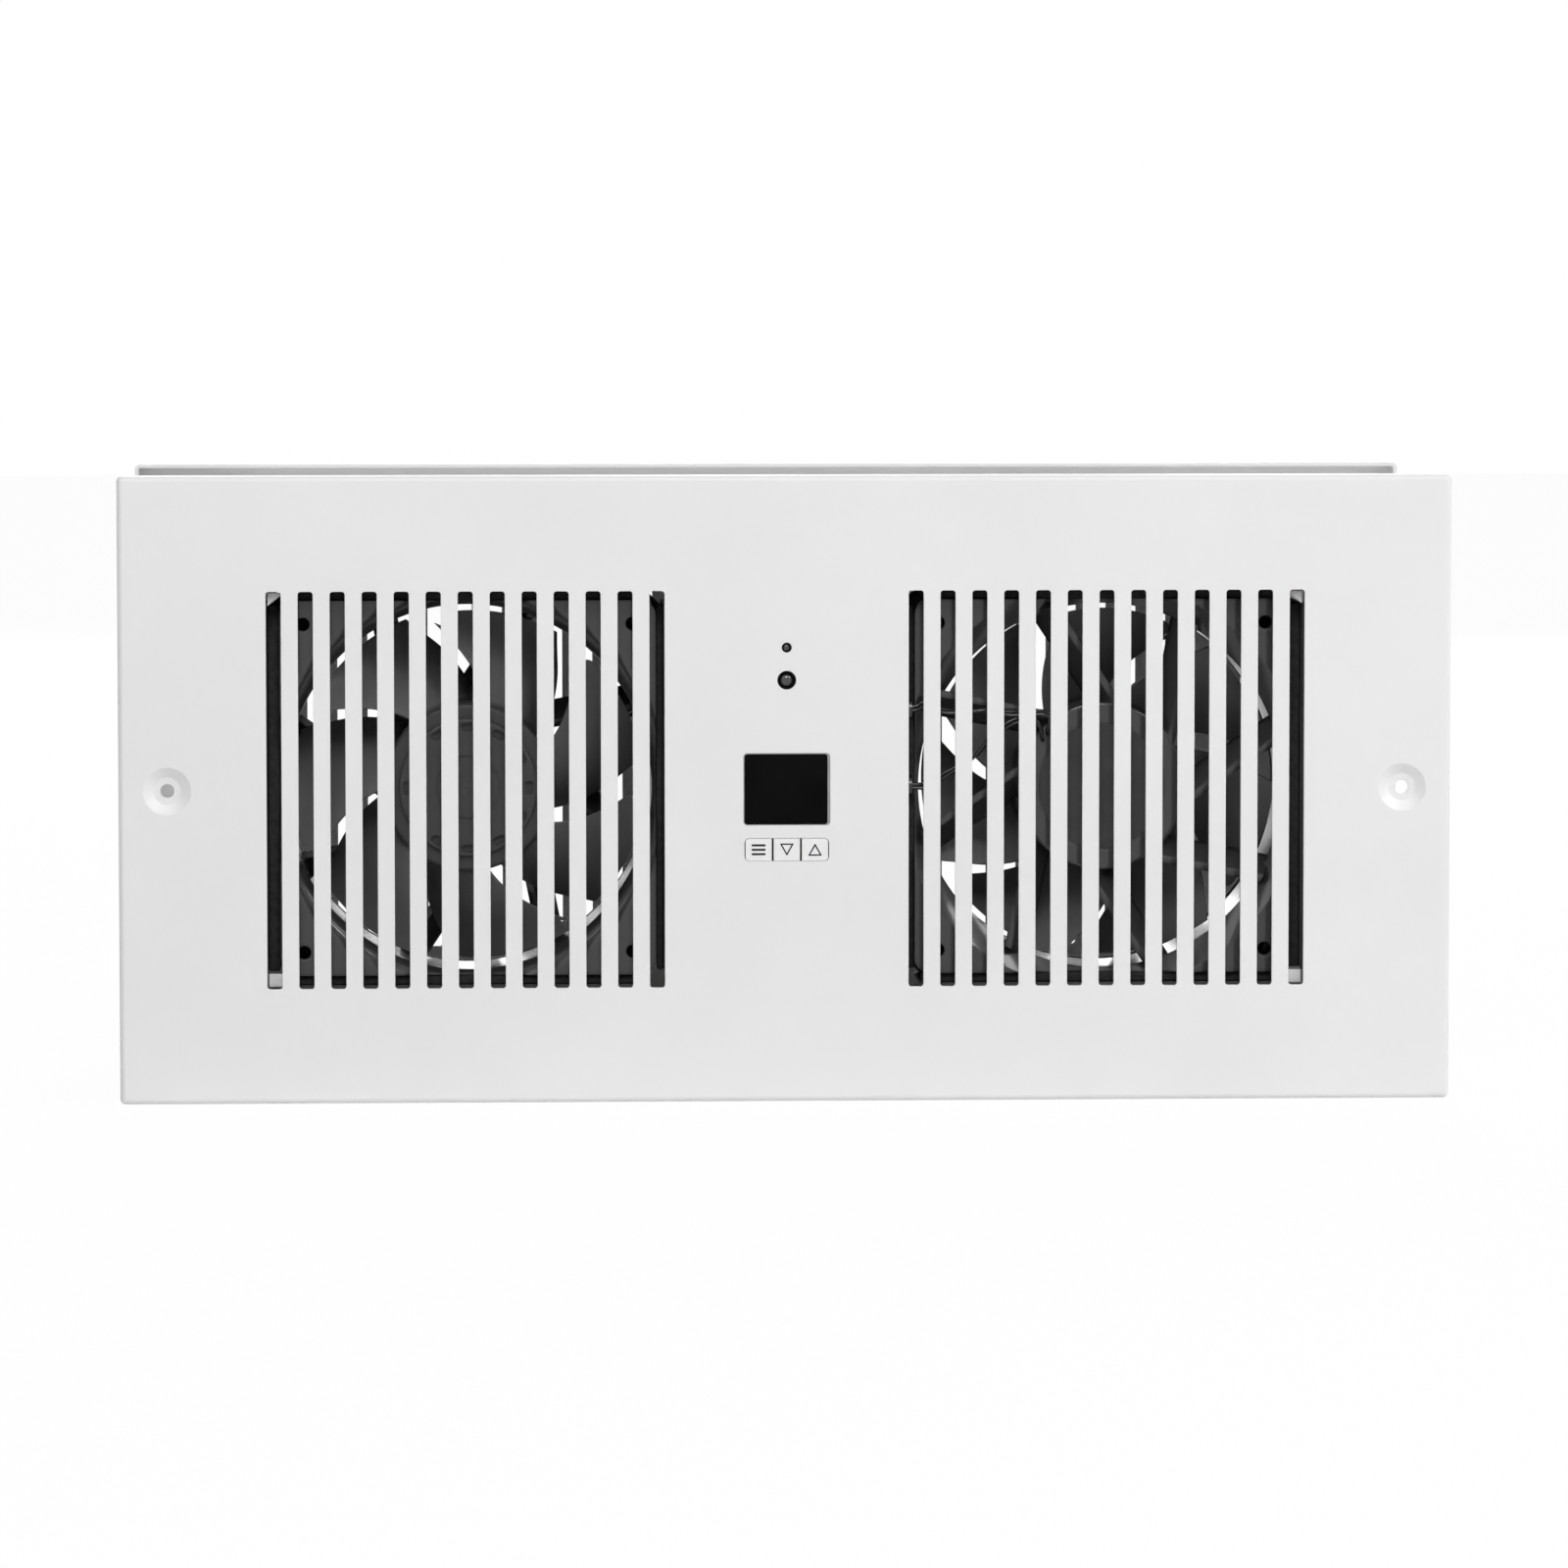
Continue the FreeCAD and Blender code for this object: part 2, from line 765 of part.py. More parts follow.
def key_switches():
    # One switch per key on the board, just past the key's travel
    front = plate_back + key_depth + key_travel + travel_spare
    bodies = []
    for column in range(3):
        middle = (column - 1) * key_strip_width / 3
        half = switch_size / 2
        span = (-key_strip_drop - half, -key_strip_drop + half)
        bodies.append(block((middle - half, middle + half), (board_front - switch_height, board_front), span))
        plunger = rod(half / 2, front, board_front - switch_height, middle, -key_strip_drop)
        bodies[-1] = joined(bodies[-1], plunger)
    return bodies


def display_lens():
    pane = rounded_rectangle(window_width - 2 * part_gap, window_height - 2 * part_gap, window_corner)
    rim = rounded_rectangle(window_width + lens_margin, window_height + lens_margin, window_corner)
    return joined(
        panel(pane, front_face + lens_sunk, plate_back),
        panel(rim, plate_back, plate_back + lens_flange),
    )


def display_module():
    outline = rounded_rectangle(window_width + lens_margin, window_height + lens_margin, window_corner)
    return panel(outline, plate_back + lens_flange, board_front)


def domed_rod(radius, y_tip, x, z):
    # A clear pin on the board with a rounded end in its hole
    body = rod(radius, y_tip, board_front, x, z)
    rim = [edge for edge in body.Edges if edge.BoundBox.YMax < y_tip + radius]
    return body.makeFillet(radius * dome_share, rim)


def infrared_receiver():
    return domed_rod(receiver_radius, front_face + receiver_sunk, 0, receiver_rise)


def light_sensor():
    return domed_rod(sensor_radius, front_face + sensor_sunk, 0, sensor_rise)


def controller_board():
    outline = rounded_rectangle(board_width, board_height, window_corner, 0, board_rise)
    return panel(outline, board_front, board_back)


def controller_housing():
    outline = rounded_rectangle(housing_width, housing_height, 2 * housing_wall, 0, board_rise)
    room = rounded_rectangle(
        housing_width - 2 * housing_wall, housing_height - 2 * housing_wall, housing_wall, 0, board_rise
    )
    shell = panel(outline, plate_back, housing_back).cut(panel(room, plate_back, housing_back - housing_wall))
    pieces = []
    for across in (-1, 1):
        for up in (-1, 1):
            x = across * (board_width / 2 - post_inset)
            z = board_rise + up * (board_height / 2 - post_inset)
            pieces.append(rod(post_radius, board_back, housing_back - housing_wall, x, z))
    for up in (-1, 1):
        edge = board_rise + up * (housing_height / 2 - housing_wall / 2)
        low, high = sorted((edge, edge + up * (ear_size + housing_wall / 2)))
        depth = (plate_back, plate_back + ear_thickness)
        pieces.append(block((-ear_size / 2, ear_size / 2), depth, (low, high)))
    housing = joined(shell, *pieces)
    room_block = panel(room, plate_back, board_back)
    housing = housing.cut(room_block)
    hole = lead_radius + lead_hole_gap
    cuts = [
        rod(hole, housing_back - housing_wall, housing_back, left_lead_turn, lead_height),
        Part.makeCylinder(
            inlet_lead_radius + lead_hole_gap,
            housing_wall,
            Vector(inlet_offset, inlet_level(), board_rise - housing_height / 2),
        ),
    ]
    for height in (lead_height, signal_lead_height):
        start = Vector(housing_width / 2 - housing_wall, fan_front - lead_rise, height)
        cuts.append(Part.makeCylinder(hole, housing_wall, start, x_axis))
    for x, z in housing_stud_places():
        cuts.append(rod(stud_hole_radius, plate_back, plate_back + ear_thickness, x, z))
    return housing.cut(cuts)


# Leads and power inlet

def tube(points, bends, radius):
    # A round lead along straight runs joined by tangent arcs
    edges = []
    last = points[0]
    for before, corner, after, bend in zip(points, points[1:], points[2:], bends):
        back = (before - corner).normalize()
        ahead = (after - corner).normalize()
        half_turn = (math.pi - back.getAngle(ahead)) / 2
        reach = bend * math.tan(half_turn)
        start = corner + back * reach
        end = corner + ahead * reach
        inward = (back + ahead).normalize()
        middle = corner + inward * (bend / math.cos(half_turn) - bend)
        edges.append(Part.makeLine(last, start))
        edges.append(Part.Arc(start, middle, end).toShape())
        last = end
    edges.append(Part.makeLine(last, points[-1]))
    path = Part.Wire(edges)
    first = points[0]
    profile = Part.Wire(Part.makeCircle(radius, first, points[1] - first))
    return path.makePipeShell([profile], True, False)


def right_lead(exit_offset, exit_height, knee, entry_height):
    # Out of the motor base, round a knee, along the frame, through the tray wall and into the housing
    level = fan_front - lead_rise
    exit_x = fan_offset - exit_offset
    points = [
        Vector(exit_x, fan_front, exit_height),
        Vector(exit_x, level, exit_height),
        Vector(fan_offset - knee[0], level, knee[1]),
        Vector(grille_offset - tray_inside / 2 + lead_entry, level, entry_height),
        Vector(housing_width / 2 - housing_wall - lead_tail, level, entry_height),
    ]
    return tube(points, [lead_bend, lead_side_bend, lead_side_bend], lead_radius)


def right_fan_lead():
    knee = (lead_knee_offset, lead_height + lead_knee_rise)
    return right_lead(lead_exit_offset, lead_exit_height, knee, lead_height)


def right_signal_lead():
    knee = (signal_knee_offset, signal_knee_height)
    return right_lead(signal_exit_offset, signal_exit_height, knee, signal_lead_height)


def left_fan_lead():
    # Out of the motor base at the back, across the tray and forwards into the housing
    level = tray_back + lead_rise
    exit_x = -fan_offset + lead_exit_offset
    points = [
        Vector(exit_x, fan_back, lead_exit_height),
        Vector(exit_x, level, lead_exit_height),
        Vector(left_lead_turn, level, lead_height),
        Vector(left_lead_turn, housing_back - housing_wall - lead_tail, lead_height),
    ]
    return tube(points, [lead_bend, rear_lead_bend], lead_radius)


def lead_grommet(height):
    # A rubber ring in the tray wall, with a lip on each side
    hole = lead_radius + lead_hole_gap
    middle = grille_offset - tray_half
    level = fan_front - lead_rise
    body = Part.makeCylinder(hole + grommet_groove, tray_sheet, Vector(middle, level, height), x_axis)
    lips = []
    for start in (middle - grommet_lip, middle + tray_sheet):
        spot = Vector(start, level, height)
        lips.append(Part.makeCylinder(hole + 2 * grommet_groove, grommet_lip, spot, x_axis))
    whole = joined(body, *lips)
    start = Vector(middle - grommet_lip, level, height)
    return whole.cut(Part.makeCylinder(hole, tray_sheet + 2 * grommet_lip, start, x_axis))


def inlet_level():
    return (plate_back + wall_face) / 2


def power_inlet():
    # A barrel socket that opens downwards in the front plate's lower flange
    bottom = -plate_height / 2
    spot = Vector(inlet_offset, inlet_level(), bottom)
    nose = Part.makeCylinder(inlet_nose, sheet, spot)
    body = Part.makeCylinder(inlet_body, inlet_length - sheet, spot + z_axis * sheet)
    socket = Part.makeCylinder(inlet_bore, inlet_bore_depth, spot)
    return joined(nose, body).cut(socket)


def inlet_lead():
    start = Vector(inlet_offset, inlet_level(), inlet_length - plate_height / 2)
    end = board_rise - housing_height / 2 + housing_wall
    return Part.makeCylinder(inlet_lead_radius, end - start.z, start)


# Telescoping sleeve

def sleeve(width, height, length, with_notch):
    # A rectangular tube on the front plate, with a lip at each end for its studs
    outer_width = width + 2 * sleeve_sheet
    outer_height = height + 2 * sleeve_sheet
    depth = (plate_back, plate_back + length)
    outer = block((-outer_width / 2, outer_width / 2), depth, (-outer_height / 2, outer_height / 2))
    inner = block((-width / 2, width / 2), depth, (-height / 2, height / 2))
    lips = []
    for side in (-1, 1):
        low, high = sorted((side * outer_width / 2, side * (outer_width / 2 + sleeve_lip)))
        lip_depth = (plate_back, plate_back + sleeve_sheet)
        lips.append(block((low, high), lip_depth, (-sleeve_lip_height / 2, sleeve_lip_height / 2)))
    body = joined(outer.cut(inner), *lips)
    cuts = []
    for x, z in sleeve_stud_places(outer_width):
        cuts.append(rod(stud_hole_radius, plate_back, plate_back + sleeve_sheet, x, z))
    if with_notch:
        half = sleeve_notch / 2
        span = (inlet_offset - half, inlet_offset + half)
        notch_depth = (plate_back, plate_back + sleeve_notch_depth)
        cuts.append(block(span, notch_depth, (-outer_height / 2, -height / 2)))
    return body.cut(cuts)


rear_sleeve_width = sleeve_width + 2 * (sleeve_sheet + sleeve_gap)
rear_sleeve_height = sleeve_height + 2 * (sleeve_sheet + sleeve_gap)
front_lips = sleeve_stud_places(sleeve_width + 2 * sleeve_sheet)
rear_lips = sleeve_stud_places(rear_sleeve_width + 2 * sleeve_sheet)

save("front_plate", front_plate())
save("rear_plate", turned_to_rear(grille_plate()))
save("front_sleeve", sleeve(sleeve_width, sleeve_height, sleeve_length, True))
save("rear_sleeve", turned_to_rear(sleeve(rear_sleeve_width, rear_sleeve_height, sleeve_length, False)))
save("front_studs", *studs(tray_stud_places() + front_lips + housing_stud_places()))
save("tray_nuts", *nuts(tray_stud_places(), tray_sheet))
save("front_sleeve_nuts", *nuts(front_lips, sleeve_sheet))
save("housing_nuts", *nuts(housing_stud_places(), ear_thickness))
save("rear_studs", *[turned_to_rear(stud) for stud in studs(rear_lips)])
save("rear_sleeve_nuts", *[turned_to_rear(nut) for nut in nuts(rear_lips, sleeve_sheet)])

frame = fan_frame()
for name, side, turn in (("left", -1, left_rotor_turn), ("right", 1, right_rotor_turn)):
    save(f"{name}_fan_tray", fan_tray(side))
    save(f"{name}_fan_screws", *fan_screws(side))
    save(f"{name}_fan_nuts", *fan_nuts(side))
    save(f"{name}_fan_frame", placed_fan(frame, side))
    save(f"{name}_impeller", placed_fan(impeller(turn), side))
    save(f"{name}_rotor_cup", placed_fan(rotor_cup(), side))
    save(f"{name}_magnet", placed_fan(magnet(), side))
    save(f"{name}_shaft", placed_fan(shaft(), side))
    save(f"{name}_bearings", *[placed_fan(bearing, side) for bearing in bearings()])
    save(f"{name}_stator_core", placed_fan(stator_core(), side))
    save(f"{name}_windings", *[placed_fan(coil, side) for coil in windings()])
    save(f"{name}_motor_board", placed_fan(motor_board(), side))

for column, name in enumerate(("menu_key", "down_key", "up_key")):
    save(name, key(column))
save("key_switches", *key_switches())
save("display_lens", display_lens())
save("display_module", display_module())
save("infrared_receiver", infrared_receiver())
save("light_sensor", light_sensor())
save("controller_board", controller_board())
save("controller_housing", controller_housing())
save("right_fan_lead", right_fan_lead())
save("left_fan_lead", left_fan_lead())
save("right_signal_lead", right_signal_lead())
save("lead_grommet", lead_grommet(lead_height), lead_grommet(signal_lead_height))
save("power_inlet", power_inlet())
save("inlet_lead", inlet_lead())
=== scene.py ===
import json
import math

import bmesh
import bpy
from mathutils import Matrix, Vector


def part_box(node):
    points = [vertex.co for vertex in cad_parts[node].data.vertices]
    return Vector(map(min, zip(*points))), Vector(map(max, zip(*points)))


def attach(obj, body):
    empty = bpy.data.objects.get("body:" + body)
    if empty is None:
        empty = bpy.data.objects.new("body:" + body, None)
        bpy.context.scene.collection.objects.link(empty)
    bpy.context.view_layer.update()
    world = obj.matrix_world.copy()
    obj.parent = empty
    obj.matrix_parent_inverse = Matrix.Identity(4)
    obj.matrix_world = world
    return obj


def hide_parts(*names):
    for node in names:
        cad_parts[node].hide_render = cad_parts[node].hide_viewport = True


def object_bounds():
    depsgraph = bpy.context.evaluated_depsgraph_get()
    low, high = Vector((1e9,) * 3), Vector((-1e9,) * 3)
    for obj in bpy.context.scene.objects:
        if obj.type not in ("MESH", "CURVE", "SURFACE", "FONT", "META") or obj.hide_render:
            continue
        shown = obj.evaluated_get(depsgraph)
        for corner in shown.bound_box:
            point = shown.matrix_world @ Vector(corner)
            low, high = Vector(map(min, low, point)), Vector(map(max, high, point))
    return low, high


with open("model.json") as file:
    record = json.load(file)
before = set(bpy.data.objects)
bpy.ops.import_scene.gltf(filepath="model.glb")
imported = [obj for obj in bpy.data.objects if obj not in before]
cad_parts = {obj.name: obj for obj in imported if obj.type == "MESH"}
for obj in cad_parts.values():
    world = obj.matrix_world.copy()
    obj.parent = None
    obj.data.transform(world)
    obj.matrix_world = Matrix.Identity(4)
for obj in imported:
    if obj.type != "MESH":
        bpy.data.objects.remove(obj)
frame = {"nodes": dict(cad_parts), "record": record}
nodes = frame["nodes"]
cadLow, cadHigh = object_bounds()
scene = bpy.context.scene
scene.view_settings.view_transform = "Standard"
mm = 0.001
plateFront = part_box("front_plate")[0].y   # outer face of the front plate
print("frame loaded:", len(nodes), "nodes")


# Camera: a little left of the unit and above it, far back with a long lens
cameraSettings = {
    "place": (-0.1052, -2.4397, 0.1673),
    "aim": (-0.9 * mm, plateFront, 1.7 * mm),
    "pixelsPerMetre": 3202.0,
    "framePixels": 1600.0,
    "sensorWidth": 36.0,
    "roll": -0.03,
}


def addCamera(settings):
    data = bpy.data.cameras.new("photoCamera")
    camera = bpy.data.objects.new("photoCamera", data)
    scene.collection.objects.link(camera)
    place = Vector(settings["place"])
    sight = Vector(settings["aim"]) - place
    turn = sight.to_track_quat("-Z", "Y").to_matrix().to_4x4()
    roll = Matrix.Rotation(math.radians(settings["roll"]), 4, "Z")
    camera.matrix_world = Matrix.Translation(place) @ turn @ roll
    data.sensor_width = settings["sensorWidth"]
    data.lens = settings["pixelsPerMetre"] * sight.length * data.sensor_width / settings["framePixels"]
    scene.camera = camera


addCamera(cameraSettings)
print("camera placed")


# Studio: white wherever the camera looks, softboxes and a faint grey for the object
studioSettings = {
    "white": (1, 1, 1, 1),
    "ambient": 0.08,
    "floorSize": 14.0,
    "floorGap": 0.2 * mm,
    "floorGlow": 0.97,
    "floorColour": (0.9, 0.9, 0.9, 1.0),
    "floorRoughness": 0.9,
}
lampSettings = [
    {"name": "rightSoftbox", "place": (2.2, -1.6, 2.0), "size": (1.6, 1.2), "power": 56.0},
    {"name": "leftSoftbox", "place": (-2.2, -1.6, 1.8), "size": (1.6, 1.2), "power": 11.4},
    {"name": "frontSoftbox", "place": (-0.12, -2.5, 2.0), "size": (1.1, 1.1), "power": 31.0},
    {"name": "rearSoftbox", "place": (0.3, 2.4, 1.2), "size": (2.2, 2.2), "power": 44.0},
]


def seenRays(tree):
    # 1 where the camera looks, straight, mirrored or through something clear, 0 for light
    path = tree.nodes.new("ShaderNodeLightPath")
    seen = path.outputs["Is Camera Ray"]
    for kind in ("Is Transmission Ray", "Is Glossy Ray"):
        either = tree.nodes.new("ShaderNodeMath")
        either.operation = "MAXIMUM"
        tree.links.new(seen, either.inputs[0])
        tree.links.new(path.outputs[kind], either.inputs[1])
        seen = either.outputs[0]
    return seen


def addWorld(settings):
    world = bpy.data.worlds.new("whiteStudio")
    scene.world = world
    world.use_nodes = True
    tree = world.node_tree
    light = tree.nodes["Background"]
    light.inputs["Color"].default_value = settings["white"]
    light.inputs["Strength"].default_value = settings["ambient"]
    seen = tree.nodes.new("ShaderNodeBackground")
    seen.inputs["Color"].default_value = settings["white"]
    seen.inputs["Strength"].default_value = 1.0
    choice = tree.nodes.new("ShaderNodeMixShader")
    tree.links.new(seenRays(tree), choice.inputs["Fac"])
    tree.links.new(light.outputs[0], choice.inputs[1])
    tree.links.new(seen.outputs[0], choice.inputs[2])
    tree.links.new(choice.outputs[0], tree.nodes["World Output"].inputs["Surface"])


def floorFinish(settings):
    # The glow is left a little short of full, so that the shadow still shows
    material = bpy.data.materials.new("studioFloor")
    material.use_nodes = True
    tree = material.node_tree
    shader = tree.nodes["Principled BSDF"]
    shader.inputs["Base Color"].default_value = settings["floorColour"]
    shader.inputs["Roughness"].default_value = settings["floorRoughness"]
    glow = tree.nodes.new("ShaderNodeEmission")
    glow.inputs["Strength"].default_value = 1.0
    share = tree.nodes.new("ShaderNodeMath")
    share.operation = "MULTIPLY"
    share.inputs[1].default_value = settings["floorGlow"]
    tree.links.new(seenRays(tree), share.inputs[0])
    choice = tree.nodes.new("ShaderNodeMixShader")
    tree.links.new(share.outputs[0], choice.inputs["Fac"])
    tree.links.new(shader.outputs[0], choice.inputs[1])
    tree.links.new(glow.outputs[0], choice.inputs[2])
    tree.links.new(choice.outputs[0], tree.nodes["Material Output"].inputs["Surface"])
    return material


def addFloor(settings):
    bm = bmesh.new()
    bmesh.ops.create_grid(bm, x_segments=1, y_segments=1, size=settings["floorSize"] / 2)
    bmesh.ops.translate(bm, vec=(0, 0, cadLow.z - settings["floorGap"]), verts=bm.verts)
    mesh = bpy.data.meshes.new("studioFloor")
    bm.to_mesh(mesh)
    bm.free()
    mesh.materials.append(floorFinish(settings))
    floor = bpy.data.objects.new("studioFloor", mesh)
    scene.collection.objects.link(floor)


def addLamp(settings):
    data = bpy.data.lights.new(settings["name"], "AREA")
    data.shape = "RECTANGLE"
    data.size, data.size_y = settings["size"]
    data.energy = settings["power"]
    lamp = bpy.data.objects.new(settings["name"], data)
    scene.collection.objects.link(lamp)
    lamp.location = settings["place"]
    lamp.rotation_euler = (-Vector(settings["place"])).to_track_quat("-Z", "Y").to_euler()


addWorld(studioSettings)
addFloor(studioSettings)
for lampRow in lampSettings:
    addLamp(lampRow)
print("studio lit")


# Finishes
noiseSpan = (0.3, 0.7)      # levels that a noise mostly stays between
tintSpan = (0.32, 0.68)     # levels between which a colour goes from dark to light
edgeSamples = 4             # rays that find the edges to round


def grey(level):
    return (level, level, level)


def startFinish(name):
    material = bpy.data.materials.new(name)
    material.use_nodes = True
    tree = material.node_tree
    place = tree.nodes.new("ShaderNodeTexCoord")
    return material, tree, tree.nodes["Principled BSDF"], place.outputs["Object"]


def addNoise(tree, place, scale, detail=3.0):
    noise = tree.nodes.new("ShaderNodeTexNoise")
    noise.inputs["Scale"].default_value = scale
    noise.inputs["Detail"].default_value = detail
    tree.links.new(place, noise.inputs["Vector"])
    return noise.outputs["Fac"]


def addTint(tree, source, look, shader, span=tintSpan):
    ramp = tree.nodes.new("ShaderNodeValToRGB")
    for element, level, colour in zip(ramp.color_ramp.elements, span, (look["dark"], look["light"])):
        element.position = level
        element.color = (*colour, 1)
    tree.links.new(source, ramp.inputs["Fac"])
    tree.links.new(ramp.outputs["Color"], shader.inputs["Base Color"])


def addSheen(tree, source, look, shader):
    span = tree.nodes.new("ShaderNodeMapRange")
    span.inputs["From Min"].default_value, span.inputs["From Max"].default_value = noiseSpan
    span.inputs["To Min"].default_value, span.inputs["To Max"].default_value = look["roughness"]
    tree.links.new(source, span.inputs["Value"])
    tree.links.new(span.outputs["Result"], shader.inputs["Roughness"])


def addRelief(tree, shader, height, depth, strength, under=None):
    bump = tree.nodes.new("ShaderNodeBump")
    bump.inputs["Distance"].default_value = depth
    bump.inputs["Strength"].default_value = strength
    tree.links.new(height, bump.inputs["Height"])
    if under:
        tree.links.new(under, bump.inputs["Normal"])
    tree.links.new(bump.outputs["Normal"], shader.inputs["Normal"])
    return bump.outputs["Normal"]


def addRoundEdges(tree, radius):
    edges = tree.nodes.new("ShaderNodeBevel")
    edges.samples = edgeSamples
    edges.inputs["Radius"].default_value = radius
    return edges.outputs["Normal"]


def coatedSteel(name, look):
    # Powder coat: edges rounded by the coat, faint clouds, orange peel and a finer grain over it
    material, tree, shader, place = startFinish(name)
    addTint(tree, addNoise(tree, place, look["cloudScale"], detail=4.0), look, shader)
    addSheen(tree, addNoise(tree, place, look["sheenScale"]), look, shader)
    peelNoise = addNoise(tree, place, look["peelScale"], detail=1.0)
    grainNoise = addNoise(tree, place, look["grainScale"], detail=1.0)
    edges = addRoundEdges(tree, look["edgeRound"])
    peel = addRelief(tree, shader, peelNoise, look["peelDepth"], look["peel"], edges)
    addRelief(tree, shader, grainNoise, look["grainDepth"], look["grain"], peel)
    shader.inputs["Specular IOR Level"].default_value = look["specular"]
    return material


def mouldedPlastic(name, look):
    # Spark-eroded mould grain with slow changes of sheen, on some with rounded edges and a clear skin
    material, tree, shader, place = startFinish(name)
    addTint(tree, addNoise(tree, place, look["cloudScale"], detail=5.0), look, shader)
    addSheen(tree, addNoise(tree, place, look["sheenScale"]), look, shader)
    edges = addRoundEdges(tree, look["edgeRound"]) if "edgeRound" in look else None
    grainNoise = addNoise(tree, place, look["grainScale"], detail=2.0)
    addRelief(tree, shader, grainNoise, look["grainDepth"], look["grain"], edges)
    shader.inputs["Specular IOR Level"].default_value = look["specular"]
    if "coat" in look:
        shader.inputs["Coat Weight"].default_value = look["coat"]
        shader.inputs["Coat Roughness"].default_value = look["coatRoughness"]
    return material


def mouldedRotor(name, look):
    # One moulding, painted darker on the hub and paler on the blades by the distance from the nearer fan's
    # axis: the paler blades are painted light, for the light and sheen that reach them
    material, tree, shader, place = startFinish(name)
    source = place
    steps = (("ABSOLUTE", None), ("SUBTRACT", (look["axis"], 0, 0)), ("MULTIPLY", (1, 0, 1)),
             ("LENGTH", None))
    for operation, value in steps:
        step = tree.nodes.new("ShaderNodeVectorMath")
        step.operation = operation
        tree.links.new(source, step.inputs[0])
        if value:
            step.inputs[1].default_value = value
        source = step.outputs["Value" if operation == "LENGTH" else "Vector"]
    share = tree.nodes.new("ShaderNodeMapRange")
    share.inputs["From Min"].default_value = look["hub"]
    share.inputs["From Max"].default_value = look["hub"] + look["blend"]
    share.inputs["To Max"].default_value = look["bladePaintedLight"]
    tree.links.new(source, share.inputs["Value"])
    mixed = tree.nodes.new("ShaderNodeMath")
    mixed.operation = "MULTIPLY_ADD"
    mixed.inputs[1].default_value = look["cloudShare"]
    tree.links.new(addNoise(tree, place, look["cloudScale"], detail=5.0), mixed.inputs[0])
    tree.links.new(share.outputs["Result"], mixed.inputs[2])
    addTint(tree, mixed.outputs[0], look, shader, look["tintSpan"])
    addSheen(tree, addNoise(tree, place, look["sheenScale"]), look, shader)
    grainNoise = addNoise(tree, place, look["grainScale"], detail=2.0)
    addRelief(tree, shader, grainNoise, look["grainDepth"], look["grain"])
    shader.inputs["Specular IOR Level"].default_value = look["specular"]
    return material


def platedSteel(name, look):
    # Bright metal with fine drawn lines along one axis
    material, tree, shader, place = startFinish(name)
    stretch = tree.nodes.new("ShaderNodeMapping")
    stretch.inputs["Scale"].default_value = look["stretch"]
    tree.links.new(place, stretch.inputs["Vector"])
    lines = addNoise(tree, stretch.outputs["Vector"], look["lineScale"], detail=4.0)
    addTint(tree, lines, look, shader)
    addSheen(tree, lines, look, shader)
    addRelief(tree, shader, lines, look["lineDepth"], look["lines"])
    shader.inputs["Metallic"].default_value = 1.0
    return material


def woundWire(name, look):
    # Enamelled wire: fine turns as a banded relief
    material, tree, shader, place = startFinish(name)
    turns = tree.nodes.new("ShaderNodeTexWave")
    turns.inputs["Scale"].default_value = look["turnScale"]
    turns.inputs["Distortion"].default_value = look["wander"]
    tree.links.new(place, turns.inputs["Vector"])
    addTint(tree, turns.outputs["Fac"], look, shader, look["tintSpan"])
    addRelief(tree, shader, turns.outputs["Fac"], look["turnDepth"], look["turns"])
    shader.inputs["Metallic"].default_value = 1.0
    shader.inputs["Roughness"].default_value = look["roughness"]
    return material


def circuitBoard(name, look):
    # Solder resist with darker lanes between the tracks
    material, tree, shader, place = startFinish(name)
    tracks = tree.nodes.new("ShaderNodeTexBrick")
    tracks.inputs["Scale"].default_value = look["trackScale"]
    for socket, colour in (("Color1", "light"), ("Color2", "middle"), ("Mortar", "dark")):
        tracks.inputs[socket].default_value = (*look[colour], 1)
    tree.links.new(place, tracks.inputs["Vector"])
    tree.links.new(tracks.outputs["Color"], shader.inputs["Base Color"])
    addRelief(tree, shader, tracks.outputs["Fac"], look["trackDepth"], look["tracks"])
    shader.inputs["Roughness"].default_value = look["roughness"]
    return material


def darkPane(name, look):
    # Smooth pane with the faintest smears in its gloss
    material, tree, shader, place = startFinish(name)
    addTint(tree, addNoise(tree, place, look["smearScale"]), look, shader)
    addSheen(tree, addNoise(tree, place, look["sheenScale"]), look, shader)
    shader.inputs["Specular IOR Level"].default_value = look["specular"]
    shader.inputs["Coat Weight"].default_value = look["coat"]
    return material


